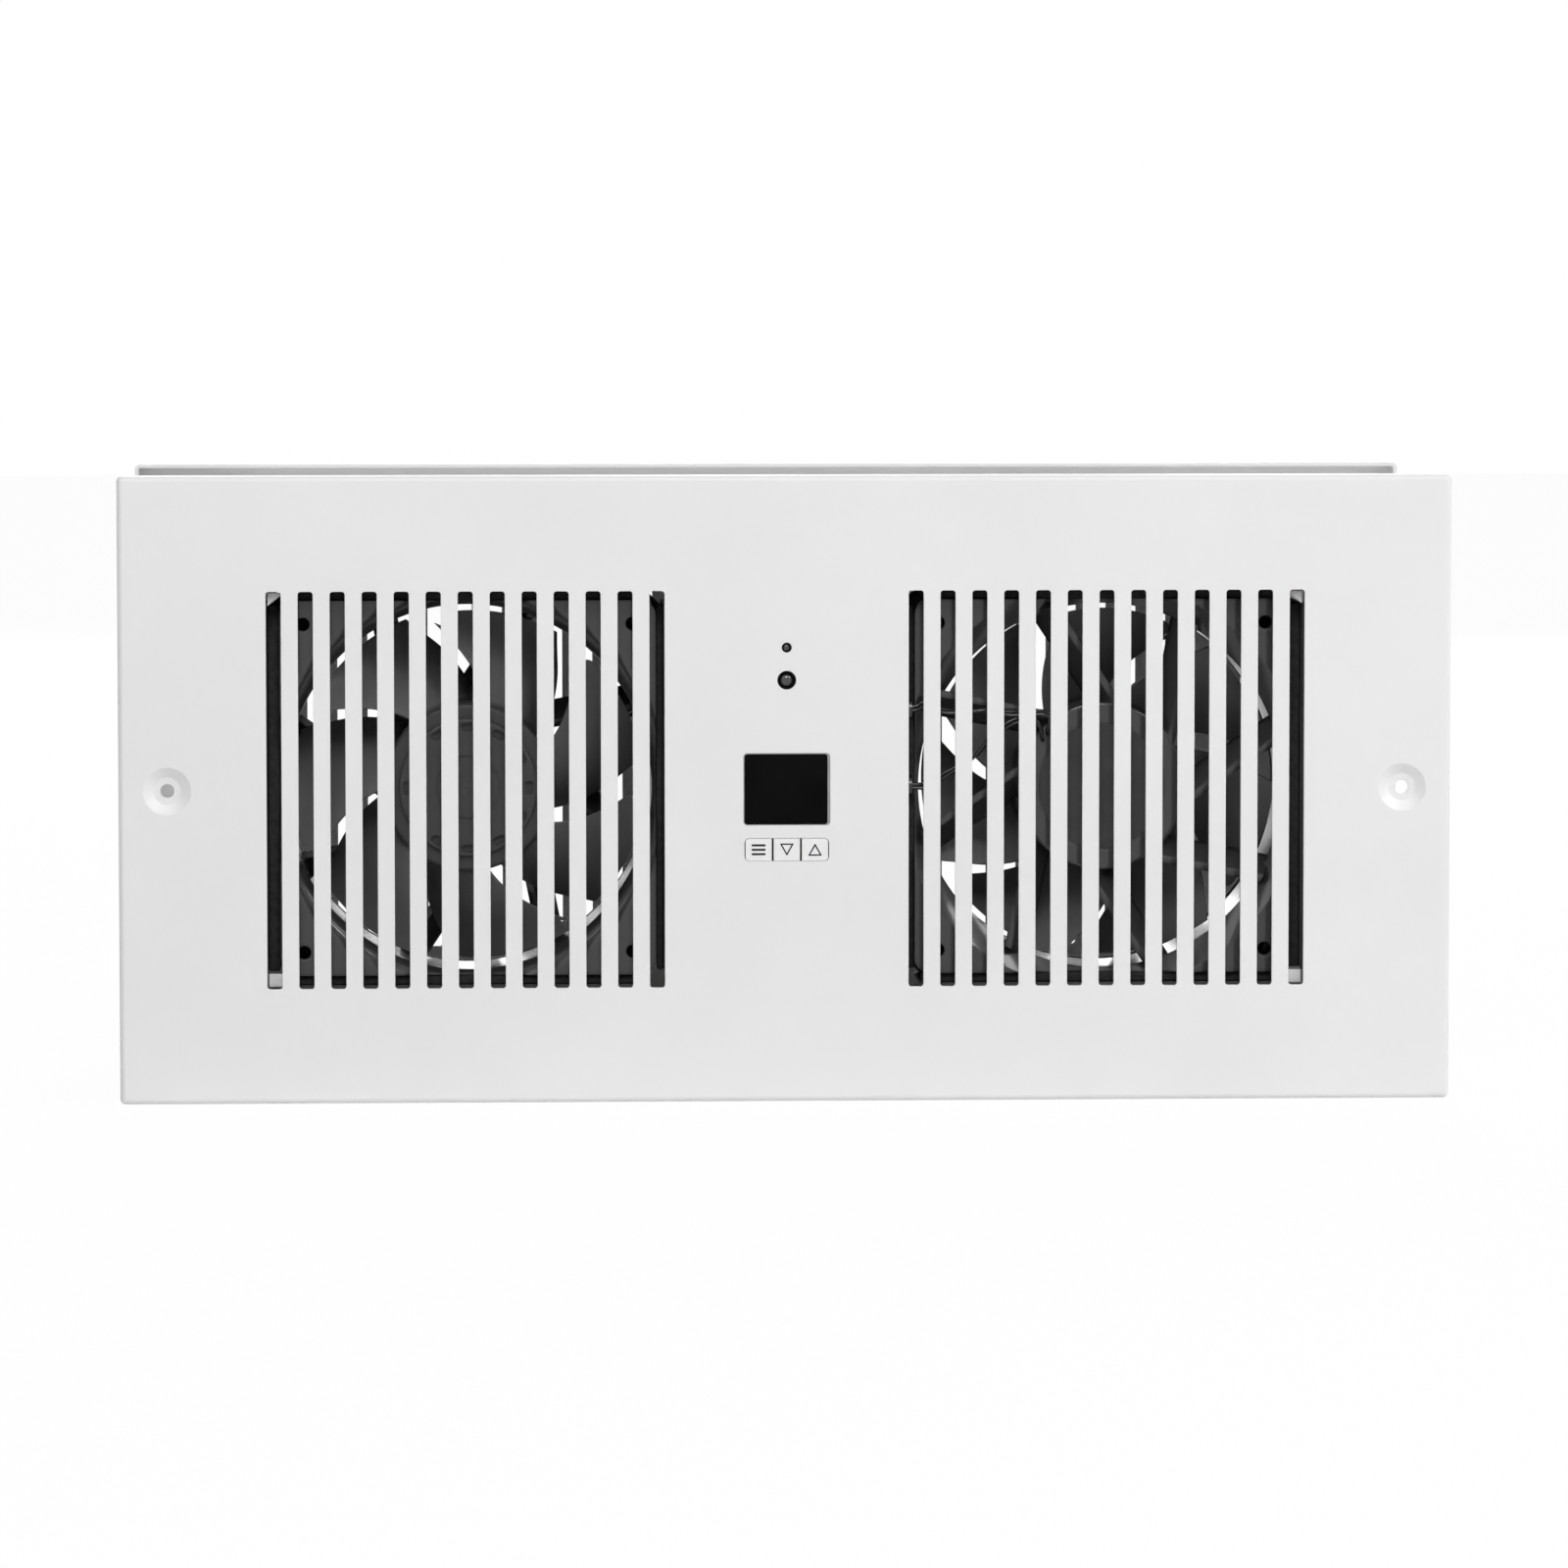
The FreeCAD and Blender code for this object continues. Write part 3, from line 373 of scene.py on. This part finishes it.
finishes = {
    "white_paint": coatedSteel("whitePowderCoat", {
        "dark": grey(0.825), "light": grey(0.855), "cloudScale": 14.0,
        "roughness": (0.42, 0.5), "sheenScale": 155.0, "specular": 0.4, "edgeRound": 0.35 * mm,
        "peelScale": 620.0, "peelDepth": 0.02 * mm, "peel": 0.35,
        "grainScale": 2600.0, "grainDepth": 0.006 * mm, "grain": 0.3,
    }),
    "black_paint": coatedSteel("blackPowderCoat", {
        "dark": grey(0.1), "light": grey(0.115), "cloudScale": 30.0,
        "roughness": (0.5, 0.62), "sheenScale": 225.0, "specular": 0.4, "edgeRound": 0.35 * mm,
        "peelScale": 900.0, "peelDepth": 0.03 * mm, "peel": 0.5,
        "grainScale": 3200.0, "grainDepth": 0.01 * mm, "grain": 0.4,
    }),
    "black_plastic": mouldedPlastic("fanPlastic", {
        "dark": grey(0.02), "light": grey(0.027), "cloudScale": 60.0,
        "roughness": (0.36, 0.46), "sheenScale": 180.0, "specular": 0.5, "edgeRound": 1.4 * mm,
        "coat": 0.7, "coatRoughness": 0.1,
        "grainScale": 2400.0, "grainDepth": 0.03 * mm, "grain": 0.5,
    }),
    "key_white": mouldedPlastic("keyFilm", {
        "dark": grey(0.86), "light": grey(0.89), "cloudScale": 200.0,
        "roughness": (0.34, 0.42), "sheenScale": 600.0, "specular": 0.45,
        "grainScale": 4200.0, "grainDepth": 0.006 * mm, "grain": 0.3,
    }),
    "black_rubber": mouldedPlastic("wireSheath", {
        "dark": grey(0.012), "light": grey(0.018), "cloudScale": 150.0,
        "roughness": (0.16, 0.24), "sheenScale": 450.0, "specular": 0.6,
        "grainScale": 2600.0, "grainDepth": 0.01 * mm, "grain": 0.2,
    }),
    "ferrite": mouldedPlastic("sinteredFerrite", {
        "dark": (0.04, 0.04, 0.043), "light": (0.07, 0.07, 0.072), "cloudScale": 90.0,
        "roughness": (0.6, 0.75), "sheenScale": 270.0, "specular": 0.3,
        "grainScale": 1800.0, "grainDepth": 0.05 * mm, "grain": 0.6,
    }),
    "zinc_steel": platedSteel("zincPlate", {
        "dark": (0.5, 0.51, 0.53), "light": (0.66, 0.67, 0.68), "roughness": (0.28, 0.42),
        "stretch": (1.0, 0.2, 1.0), "lineScale": 900.0, "lineDepth": 0.01 * mm, "lines": 0.3,
    }),
    "bright_steel": platedSteel("groundSteel", {
        "dark": (0.06, 0.06, 0.061), "light": (0.1, 0.1, 0.101), "roughness": (0.28, 0.42),
        "stretch": (1.0, 0.1, 1.0), "lineScale": 1500.0, "lineDepth": 0.01 * mm, "lines": 0.3,
    }),
    "copper": woundWire("copperTurns", {
        "dark": (0.42, 0.17, 0.07), "light": (0.75, 0.36, 0.18), "tintSpan": (0.1, 0.9),
        "turnScale": 700.0, "wander": 1.5, "turnDepth": 0.2 * mm, "turns": 0.8, "roughness": 0.35,
    }),
    "board_green": circuitBoard("boardResist", {
        "dark": (0.012, 0.07, 0.03), "middle": (0.02, 0.13, 0.05), "light": (0.03, 0.17, 0.07),
        "trackScale": 160.0, "trackDepth": 0.03 * mm, "tracks": 0.5, "roughness": 0.35,
    }),
    "display_black": darkPane("displayPane", {
        "dark": grey(0.003), "light": grey(0.005), "smearScale": 45.0,
        "roughness": (0.1, 0.2), "sheenScale": 90.0, "specular": 0.02, "coat": 0.0,
    }),
    "dark_lens": darkPane("receiverLens", {
        "dark": grey(0.006), "light": grey(0.012), "smearScale": 300.0,
        "roughness": (0.02, 0.05), "sheenScale": 600.0, "specular": 0.5, "coat": 1.0,
    }),
}
for part in frame["record"]["subparts"]:
    mesh = nodes[part["node"]].data
    mesh.materials.clear()
    mesh.materials.append(finishes[part["material_slot"]])
blackenedSteel = platedSteel("blackenedSteel", {
    "dark": (0.03, 0.03, 0.031), "light": (0.055, 0.055, 0.056), "roughness": (0.4, 0.52),
    "stretch": (1.0, 0.3, 1.0), "lineScale": 1200.0, "lineDepth": 0.01 * mm, "lines": 0.3,
})
for node in ("left_fan_screws", "right_fan_screws", "left_fan_nuts", "right_fan_nuts"):
    nodes[node].data.materials[0] = blackenedSteel
print("finishes given to every node")


# Small helpers for the added pieces
def keepPiece(name, bm, material, body):
    mesh = bpy.data.meshes.new(name)
    bm.to_mesh(mesh)
    bm.free()
    mesh.materials.append(material)
    piece = bpy.data.objects.new(name, mesh)
    scene.collection.objects.link(piece)
    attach(piece, body)
    return piece


def roundOff(bm, geom, radius, steps, affect="EDGES"):
    bmesh.ops.bevel(bm, geom=geom, offset=radius, affect=affect, segments=steps, profile=0.5, material=-1)


def vertsOf(items):
    return [item for item in items if isinstance(item, bmesh.types.BMVert)]


def thicken(bm, step):
    # Flat faces become a closed body, whose second side lies a step away
    lifted = vertsOf(bmesh.ops.extrude_face_region(bm, geom=bm.faces[:])["geom"])
    bmesh.ops.translate(bm, vec=step, verts=lifted)
    return lifted


def standUp(bm, facing):
    # What was drawn flat, looking up, looks to the front (-1) or the back (1)
    turn = Matrix.Rotation(math.radians(-90 * facing), 3, "X")
    bmesh.ops.rotate(bm, matrix=turn, verts=bm.verts)


# Signs on the keys: three bars, a triangle down and a triangle up
signSettings = {
    "barLength": 4.5 * mm, "barWidth": 0.68 * mm, "barPitch": 1.42 * mm,
    "triangleSide": 4.5 * mm, "triangleHeight": 3.95 * mm, "lineWidth": 0.44 * mm,
    "thickness": 0.03 * mm, "cornerRound": 0.25 * mm, "cornerSteps": 3,
}
signInk = mouldedPlastic("signInk", {
    "dark": grey(0.008), "light": grey(0.014), "cloudScale": 400.0,
    "roughness": (0.4, 0.5), "sheenScale": 1200.0, "specular": 0.3,
    "grainScale": 5000.0, "grainDepth": 0.004 * mm, "grain": 0.3,
})


def keyMiddle(node):
    low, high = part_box(node)
    return Vector(((low.x + high.x) / 2, low.y, (low.z + high.z) / 2))


def drawBars(settings):
    bm = bmesh.new()
    for row in (-1, 0, 1):
        bar = bmesh.ops.create_grid(bm, x_segments=1, y_segments=1, size=0.5)["verts"]
        bmesh.ops.scale(bm, vec=(settings["barLength"], settings["barWidth"], 1), verts=bar)
        bmesh.ops.translate(bm, vec=(0, row * settings["barPitch"], 0), verts=bar)
    roundOff(bm, bm.verts[:], settings["cornerRound"], settings["cornerSteps"], "VERTICES")
    return bm


def drawTriangle(settings, up):
    bm = bmesh.new()
    side, height = settings["triangleSide"], settings["triangleHeight"]
    tip = bm.verts.new((0, up * height / 2, 0))
    feet = [bm.verts.new((x * side / 2, -up * height / 2, 0)) for x in (-up, up)]
    bm.faces.new([tip, *feet])
    roundOff(bm, bm.verts[:], settings["cornerRound"], settings["cornerSteps"], "VERTICES")
    middle = bm.faces[:]
    bmesh.ops.inset_region(bm, faces=middle, thickness=settings["lineWidth"],
                           use_even_offset=True, use_boundary=True)
    bmesh.ops.delete(bm, geom=middle, context="FACES")
    return bm


def layOnKey(name, bm, node, body, settings):
    # The sign is drawn flat, given its thickness, stood up and set on the key's face
    thicken(bm, (0, 0, settings["thickness"]))
    standUp(bm, -1)
    bmesh.ops.translate(bm, vec=keyMiddle(node), verts=bm.verts)
    bmesh.ops.recalc_face_normals(bm, faces=bm.faces)
    if bm.calc_volume(signed=True) < 0:
        bmesh.ops.reverse_faces(bm, faces=bm.faces)
    keepPiece(name, bm, signInk, body)


layOnKey("menuSign", drawBars(signSettings), "menu_key", "menu_button", signSettings)
layOnKey("downSign", drawTriangle(signSettings, -1), "down_key", "down_button", signSettings)
layOnKey("upSign", drawTriangle(signSettings, 1), "up_key", "up_button", signSettings)
print("key signs laid")


# Grey border inside the display window, wider on its right side: painted light, standing in for the lit cut
# edge of the window as seen from the left
borderSettings = {
    "windowWidth": 27.6 * mm, "windowHeight": 23.0 * mm, "inset": 0.12 * mm, "lineWidth": 0.16 * mm,
    "rightExtra": 0.5 * mm, "thickness": 0.03 * mm, "cornerRound": 1.1 * mm, "cornerSteps": 6,
}
# This grey is painted light for the window's lit edge, not ink
paintedEdgeLight = mouldedPlastic("paintedEdgeLight", {
    "dark": grey(0.3), "light": grey(0.36), "cloudScale": 300.0,
    "roughness": (0.35, 0.45), "sheenScale": 900.0, "specular": 0.4,
    "grainScale": 4200.0, "grainDepth": 0.004 * mm, "grain": 0.3,
})


def addPaintedWindowEdge(settings):
    width = settings["windowWidth"] - 2 * settings["inset"]
    height = settings["windowHeight"] - 2 * settings["inset"]
    bm = bmesh.new()
    bmesh.ops.create_grid(bm, x_segments=1, y_segments=1, size=0.5)
    bmesh.ops.scale(bm, vec=(width, height, 1), verts=bm.verts)
    roundOff(bm, bm.verts[:], settings["cornerRound"], settings["cornerSteps"], "VERTICES")
    middle = bm.faces[:]
    bmesh.ops.inset_region(bm, faces=middle, thickness=settings["lineWidth"],
                           use_even_offset=True, use_boundary=True)
    inner = {vert for face in middle for vert in face.verts}
    rightSide = [vert for vert in inner if vert.co.x > 0]
    # The wider right side is where the painted light of the lit edge shows most
    bmesh.ops.translate(bm, vec=(-settings["rightExtra"], 0, 0), verts=rightSide)
    bmesh.ops.delete(bm, geom=middle, context="FACES")
    thicken(bm, (0, 0, settings["thickness"]))
    standUp(bm, -1)
    bmesh.ops.translate(bm, vec=(0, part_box("display_lens")[0].y, 0), verts=bm.verts)
    bmesh.ops.recalc_face_normals(bm, faces=bm.faces)
    keepPiece("paintedWindowEdge", bm, paintedEdgeLight, "front_unit")


addPaintedWindowEdge(borderSettings)
print("painted window edge laid")


# Bare round labels in the recesses of the motor bases
labelSettings = {
    "radius": 20.1 * mm, "thickness": 0.14 * mm, "recess": 0.3 * mm, "sides": 96,
    "rimRound": 0.05 * mm, "rimSteps": 2,
}
labelFilm = mouldedPlastic("labelFilm", {
    "dark": grey(0.048), "light": grey(0.06), "cloudScale": 120.0,
    "roughness": (0.5, 0.58), "sheenScale": 360.0, "specular": 0.3,
    "grainScale": 3000.0, "grainDepth": 0.02 * mm, "grain": 0.5,
})


def addLabel(name, node, facing, settings):
    low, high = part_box(node)
    seat = (low.y if facing < 0 else high.y) - facing * settings["recess"]
    bm = bmesh.new()
    bmesh.ops.create_circle(bm, cap_ends=True, segments=settings["sides"], radius=settings["radius"])
    lifted = thicken(bm, (0, 0, settings["thickness"]))
    rim = [edge for edge in bm.edges if all(vert in lifted for vert in edge.verts)]
    roundOff(bm, rim, settings["rimRound"], settings["rimSteps"])
    standUp(bm, facing)
    bmesh.ops.translate(bm, vec=((low.x + high.x) / 2, seat, (low.z + high.z) / 2), verts=bm.verts)
    bmesh.ops.recalc_face_normals(bm, faces=bm.faces)
    keepPiece(name, bm, labelFilm, "front_unit")


addLabel("rightLabel", "right_fan_frame", -1, labelSettings)
addLabel("leftLabel", "left_fan_frame", 1, labelSettings)
print("labels laid")


# Dark strips in the room between each fan and its tray, darker than the tray's paint, so the bands at the
# ends of the slots show darker
traySettings = {"sheet": 1.2 * mm, "roomAbove": 3.2 * mm}   # the room is between fan and tray
darkStripSettings = {
    "front": 1.6 * mm, "depth": 6.0 * mm, "length": 117.0 * mm, "clearance": 0.15 * mm,
    "edgeRound": 0.6 * mm, "edgeSteps": 3,
}
darkStripFinish = mouldedPlastic("darkStripFinish", {
    "dark": grey(0.03), "light": grey(0.046), "cloudScale": 500.0,
    "roughness": (0.85, 0.95), "sheenScale": 1500.0, "specular": 0.2,
    "grainScale": 1400.0, "grainDepth": 0.15 * mm, "grain": 0.8,
})


def addDarkStrip(name, low, high, settings):
    bm = bmesh.new()
    bmesh.ops.create_cube(bm, size=1.0)
    bmesh.ops.scale(bm, vec=high - low, verts=bm.verts)
    bmesh.ops.translate(bm, vec=(low + high) / 2, verts=bm.verts)
    roundOff(bm, bm.edges[:], settings["edgeRound"], settings["edgeSteps"])
    for face in bm.faces:
        face.smooth = True
    keepPiece(name, bm, darkStripFinish, "front_unit")


def lineFanWithStrips(side, settings):
    fanLow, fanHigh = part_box(f"{side}_fan_frame")
    trayLow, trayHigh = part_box(f"{side}_fan_tray")
    gap, half = settings["clearance"], settings["length"] / 2
    front = fanLow.y + settings["front"]
    back = front + settings["depth"]
    middle = (trayLow.x + trayHigh.x) / 2
    wallLow, wallHigh = trayLow.x + traySettings["sheet"], trayHigh.x - traySettings["sheet"]
    roof = fanHigh.z + traySettings["roomAbove"]
    addDarkStrip(f"{side}DarkStripTop", Vector((middle - half, front, fanHigh.z + gap)),
                 Vector((middle + half, back, roof - gap)), settings)
    addDarkStrip(f"{side}DarkStripBottom", Vector((middle - half, front, -roof + gap)),
                 Vector((middle + half, back, fanLow.z - gap)), settings)
    addDarkStrip(f"{side}DarkStripLow", Vector((wallLow + gap, front, -half)),
                 Vector((fanLow.x - gap, back, half)), settings)
    addDarkStrip(f"{side}DarkStripHigh", Vector((fanHigh.x + gap, front, -half)),
                 Vector((wallHigh - gap, back, half)), settings)


lineFanWithStrips("left", darkStripSettings)
lineFanWithStrips("right", darkStripSettings)
print("dark strips set round the fans")


# White corner tabs of the sleeve, folded in behind the outer corners of the trays: the upper ones
# are cut off slanting, the lower ones are square
tabSettings = {
    "behindPlate": 3.2 * mm, "sheet": 1.0 * mm, "width": 5.6 * mm, "height": 4.3 * mm,
    "clearance": 0.3 * mm, "edgeRound": 0.3 * mm, "edgeSteps": 2,
}


def addCornerTab(name, side, outer, up, settings):
    trayLow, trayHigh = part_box(f"{side}_fan_tray")
    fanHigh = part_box(f"{side}_fan_frame")[1]
    wall = trayLow.x if outer < 0 else trayHigh.x
    near = wall - outer * (traySettings["sheet"] + settings["clearance"])
    far = near - outer * settings["width"]
    roof = fanHigh.z + traySettings["roomAbove"] - settings["clearance"]
    foot = roof - settings["height"]
    corners = [(near, up * roof), (far, up * roof), (near, up * foot)]
    if up < 0:
        corners.insert(2, (far, up * foot))
    bm = bmesh.new()
    bm.faces.new([bm.verts.new((x, plateFront + settings["behindPlate"], z)) for x, z in corners])
    thicken(bm, (0, settings["sheet"], 0))
    bmesh.ops.recalc_face_normals(bm, faces=bm.faces)
    roundOff(bm, bm.edges[:], settings["edgeRound"], settings["edgeSteps"])
    keepPiece(name, bm, finishes["white_paint"], "front_unit")


for outer, side in ((-1, "left"), (1, "right")):
    for up, height in ((1, "Upper"), (-1, "Lower")):
        addCornerTab(f"{side}{height}Tab", side, outer, up, tabSettings)
print("corner tabs folded")


# Impellers as copies of the CAD ones, with the ring of pockets open in the hub's face
impellerLow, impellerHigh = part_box("right_impeller")
rotorSettings = {
    "hubFront": 2.0 * mm, "faceRadii": (10.4 * mm, 21.45 * mm), "faceDepths": (-0.02 * mm, 0.02 * mm),
    "closedRadii": (17.5 * mm, 21.2 * mm), "closedDepths": (0.7 * mm, 1.7 * mm),
    "pocketCount": 12, "pocketCircle": 19.5 * mm, "pocketWidth": 2.7 * mm, "pocketLength": 4.6 * mm,
    "pocketDepth": 1.4 * mm, "endSteps": 8, "mergeGap": 0.002 * mm, "smoothAngle": 32.0, "flatShare": 0.9995,
}
# The blades' paler grey in this finish is painted light, not a colour of the plastic
rotorPlastic = mouldedRotor("rotorPlastic", {
    "axis": (impellerLow.x + impellerHigh.x) / 2, "hub": 27.0 * mm, "blend": 1.5 * mm, "bladePaintedLight": 0.85,
    "dark": grey(0.072), "light": grey(0.18), "tintSpan": (0.08, 0.97), "cloudScale": 60.0, "cloudShare": 0.2,
    "roughness": (0.4, 0.5), "sheenScale": 180.0, "specular": 0.35,
    "grainScale": 2000.0, "grainDepth": 0.05 * mm, "grain": 0.6,
})


def pocketOutline(turn, centre, settings):
    # A slot with round ends, its length along the circle of pockets
    outward = Vector((math.cos(turn), 0, math.sin(turn)))
    around = Vector((-math.sin(turn), 0, math.cos(turn)))
    radius = settings["pocketWidth"] / 2
    straight = settings["pocketLength"] / 2 - radius
    outline = []
    for end in (1, -1):
        for step in range(settings["endSteps"] + 1):
            angle = math.pi * step / settings["endSteps"]
            out = settings["pocketCircle"] + end * radius * math.cos(angle)
            outline.append(centre + outward * out + around * end * (straight + radius * math.sin(angle)))
    return outline


def isWithin(vert, centre, facing, radii, depths):
    # Depths count from the hub's face into the hub
    out = vert.co - centre
    radius, depth = math.hypot(out.x, out.z), -facing * out.y
    return radii[0] < radius < radii[1] and depths[0] < depth < depths[1]


def openPockets(bm, centre, facing, settings):
    # The CAD's pockets lie closed under the face, so they go and the face gets open ones
    closed = [vert for vert in bm.verts
              if isWithin(vert, centre, facing, settings["closedRadii"], settings["closedDepths"])]
    bmesh.ops.delete(bm, geom=closed, context="VERTS")
    top = [face for face in bm.faces
           if all(isWithin(vert, centre, facing, settings["faceRadii"], settings["faceDepths"])
                  for vert in face.verts)]
    bmesh.ops.delete(bm, geom=top, context="FACES")
    borders = [edge for edge in bm.edges if edge.is_boundary]
    outlines = []
    for number in range(settings["pocketCount"]):
        turn = 2 * math.pi * number / settings["pocketCount"]
        ring = [bm.verts.new(spot) for spot in pocketOutline(turn, centre, settings)]
        outlines.append([bm.edges.new((ring[index - 1], vert)) for index, vert in enumerate(ring)])
        borders.extend(outlines[-1])
    bmesh.ops.triangle_fill(bm, use_beauty=True, edges=borders, normal=(0, facing, 0))
    for outline in outlines:
        made = bmesh.ops.extrude_edge_only(bm, edges=outline)["geom"]
        floor = vertsOf(made)
        bmesh.ops.translate(bm, vec=(0, -facing * settings["pocketDepth"], 0), verts=floor)
        lower = [item for item in made
                 if isinstance(item, bmesh.types.BMEdge) and all(vert in floor for vert in item.verts)]
        bmesh.ops.edgeloop_fill(bm, edges=lower)


def addRotorCopy(name, fan, facing, settings):
    frameLow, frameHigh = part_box(f"{fan}_fan_frame")
    front = (frameLow.y if facing < 0 else frameHigh.y) - facing * settings["hubFront"]
    centre = Vector(((frameLow.x + frameHigh.x) / 2, front, (frameLow.z + frameHigh.z) / 2))
    bm = bmesh.new()
    bm.from_mesh(nodes[f"{fan}_impeller"].data)
    bmesh.ops.remove_doubles(bm, verts=bm.verts, dist=settings["mergeGap"])
    openPockets(bm, centre, facing, settings)
    bmesh.ops.recalc_face_normals(bm, faces=bm.faces)
    for face in bm.faces:
        face.smooth = abs(face.normal.y) < settings["flatShare"]
    piece = keepPiece(name, bm, rotorPlastic, f"{fan}_rotor")
    piece.data.attributes.remove(piece.data.attributes["custom_normal"])
    piece.data.set_sharp_from_angle(angle=math.radians(settings["smoothAngle"]))
    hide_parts(f"{fan}_impeller")


addRotorCopy("leftRotorShell", "left", -1, rotorSettings)
addRotorCopy("rightRotorShell", "right", 1, rotorSettings)
print("rotors shaped")


# Fan leads: pairs of strands along the routes of the CAD leads, whose points are in millimetres
strandSettings = {
    "radius": 0.6 * mm, "apart": 0.62 * mm, "turnsPerMetre": 16.0, "leastSide": 0.3,
    "routeSteps": 8, "strandSteps": 2, "roundSteps": 4, "mergeGap": 0.001 * mm,
}
leadRoutes = {
    "rightFanStrand": {"node": "right_fan_lead", "start": 1.5, "points": [
        (84.0, -64.7, 17.4), (84.0, -67.3, 17.4), (85.2, -67.3, 24.0), (77.0, -67.3, 23.6),
        (70.4, -67.2, 23.5), (64.8, -67.4, 24.6), (54.4, -67.1, 23.9), (48.6, -67.2, 24.6),
        (44.6, -67.3, 27.4), (42.0, -67.2, 25.0), (34.0, -67.2, 25.0), (25.4, -67.2, 25.0)]},
    "rightSignalStrand": {"node": "right_signal_lead", "start": 1.4, "points": [
        (82.4, -64.7, 15.3), (82.4, -67.2, 15.3), (81.0, -67.2, 21.6), (73.0, -67.2, 21.5),
        (66.5, -67.3, 16.6), (61.0, -67.4, 9.9), (56.0, -67.2, 6.8), (50.3, -67.1, 3.6),
        (45.0, -67.3, 0.2), (41.6, -67.2, 0.4), (34.0, -67.2, 0.5), (25.4, -67.2, 0.5)]},
    "leftFanStrand": {"node": "left_fan_lead", "start": 0.4, "points": [
        (-86.6, -27.3, 19.0), (-86.6, -23.4, 19.0), (-78.0, -23.5, 19.6), (-60.0, -23.6, 20.0),
        (-40.0, -23.6, 21.6), (-24.0, -23.5, 24.6), (-18.0, -23.4, 25.0), (-18.0, -31.0, 25.0),
        (-18.0, -49.9, 25.0)]},
}


def smoothLine(name, points, steps):
    # A curve whose control points are the route
    data = bpy.data.curves.new(name, "CURVE")
    data.dimensions = "3D"
    spline = data.splines.new("NURBS")
    spline.points.add(len(points) - 1)
    for spot, point in zip(spline.points, points):
        spot.co = (*point, 1.0)
    spline.order_u = 3
    spline.use_endpoint_u = True
    data.resolution_u = steps
    return data


def meshOf(name, data):
    curve = bpy.data.objects.new(name, data)
    mesh = bpy.data.meshes.new_from_object(curve)
    bpy.data.objects.remove(curve)
    bpy.data.curves.remove(data)
    return mesh


def readLine(name, points, settings):
    mesh = meshOf(name, smoothLine(name, points, settings["routeSteps"]))
    line = [vert.co.copy() for vert in mesh.vertices]
    bpy.data.meshes.remove(mesh)
    return line


def strandLine(line, start, settings):
    # One strand winds round the route, a fixed distance from it
    run, strand = 0.0, []
    for index, point in enumerate(line):
        before, after = line[max(index - 1, 0)], line[min(index + 1, len(line) - 1)]
        ahead = (after - before).normalized()
        side = ahead.cross(Vector((0, 1, 0)))
        if side.length < settings["leastSide"]:
            side = ahead.cross(Vector((0, 0, 1)))
        side.normalize()
        angle = start + run * settings["turnsPerMetre"] * 2 * math.pi
        outward = math.cos(angle) * side + math.sin(angle) * side.cross(ahead)
        strand.append(point + settings["apart"] * outward)
        run += (after - point).length
    return strand


def addStrand(name, line, settings):
    data = smoothLine(name, line, settings["strandSteps"])
    data.bevel_depth = settings["radius"]
    data.bevel_resolution = settings["roundSteps"]
    data.use_fill_caps = True
    mesh = meshOf(name, data)
    bm = bmesh.new()
    bm.from_mesh(mesh)
    bpy.data.meshes.remove(mesh)
    bmesh.ops.remove_doubles(bm, verts=bm.verts, dist=settings["mergeGap"])
    bmesh.ops.recalc_face_normals(bm, faces=bm.faces)
    for face in bm.faces:
        face.smooth = True
    return keepPiece(name, bm, finishes["black_rubber"], "front_unit")


for name, lead in leadRoutes.items():
    route = readLine(name, [Vector(point) * mm for point in lead["points"]], strandSettings)
    for number, turn in ((1, 0.0), (2, math.pi)):
        line = strandLine(route, lead["start"] + turn, strandSettings)
        strand = addStrand(f"{name}{number}", line, strandSettings)
        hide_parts(lead["node"])
print("leads strung")
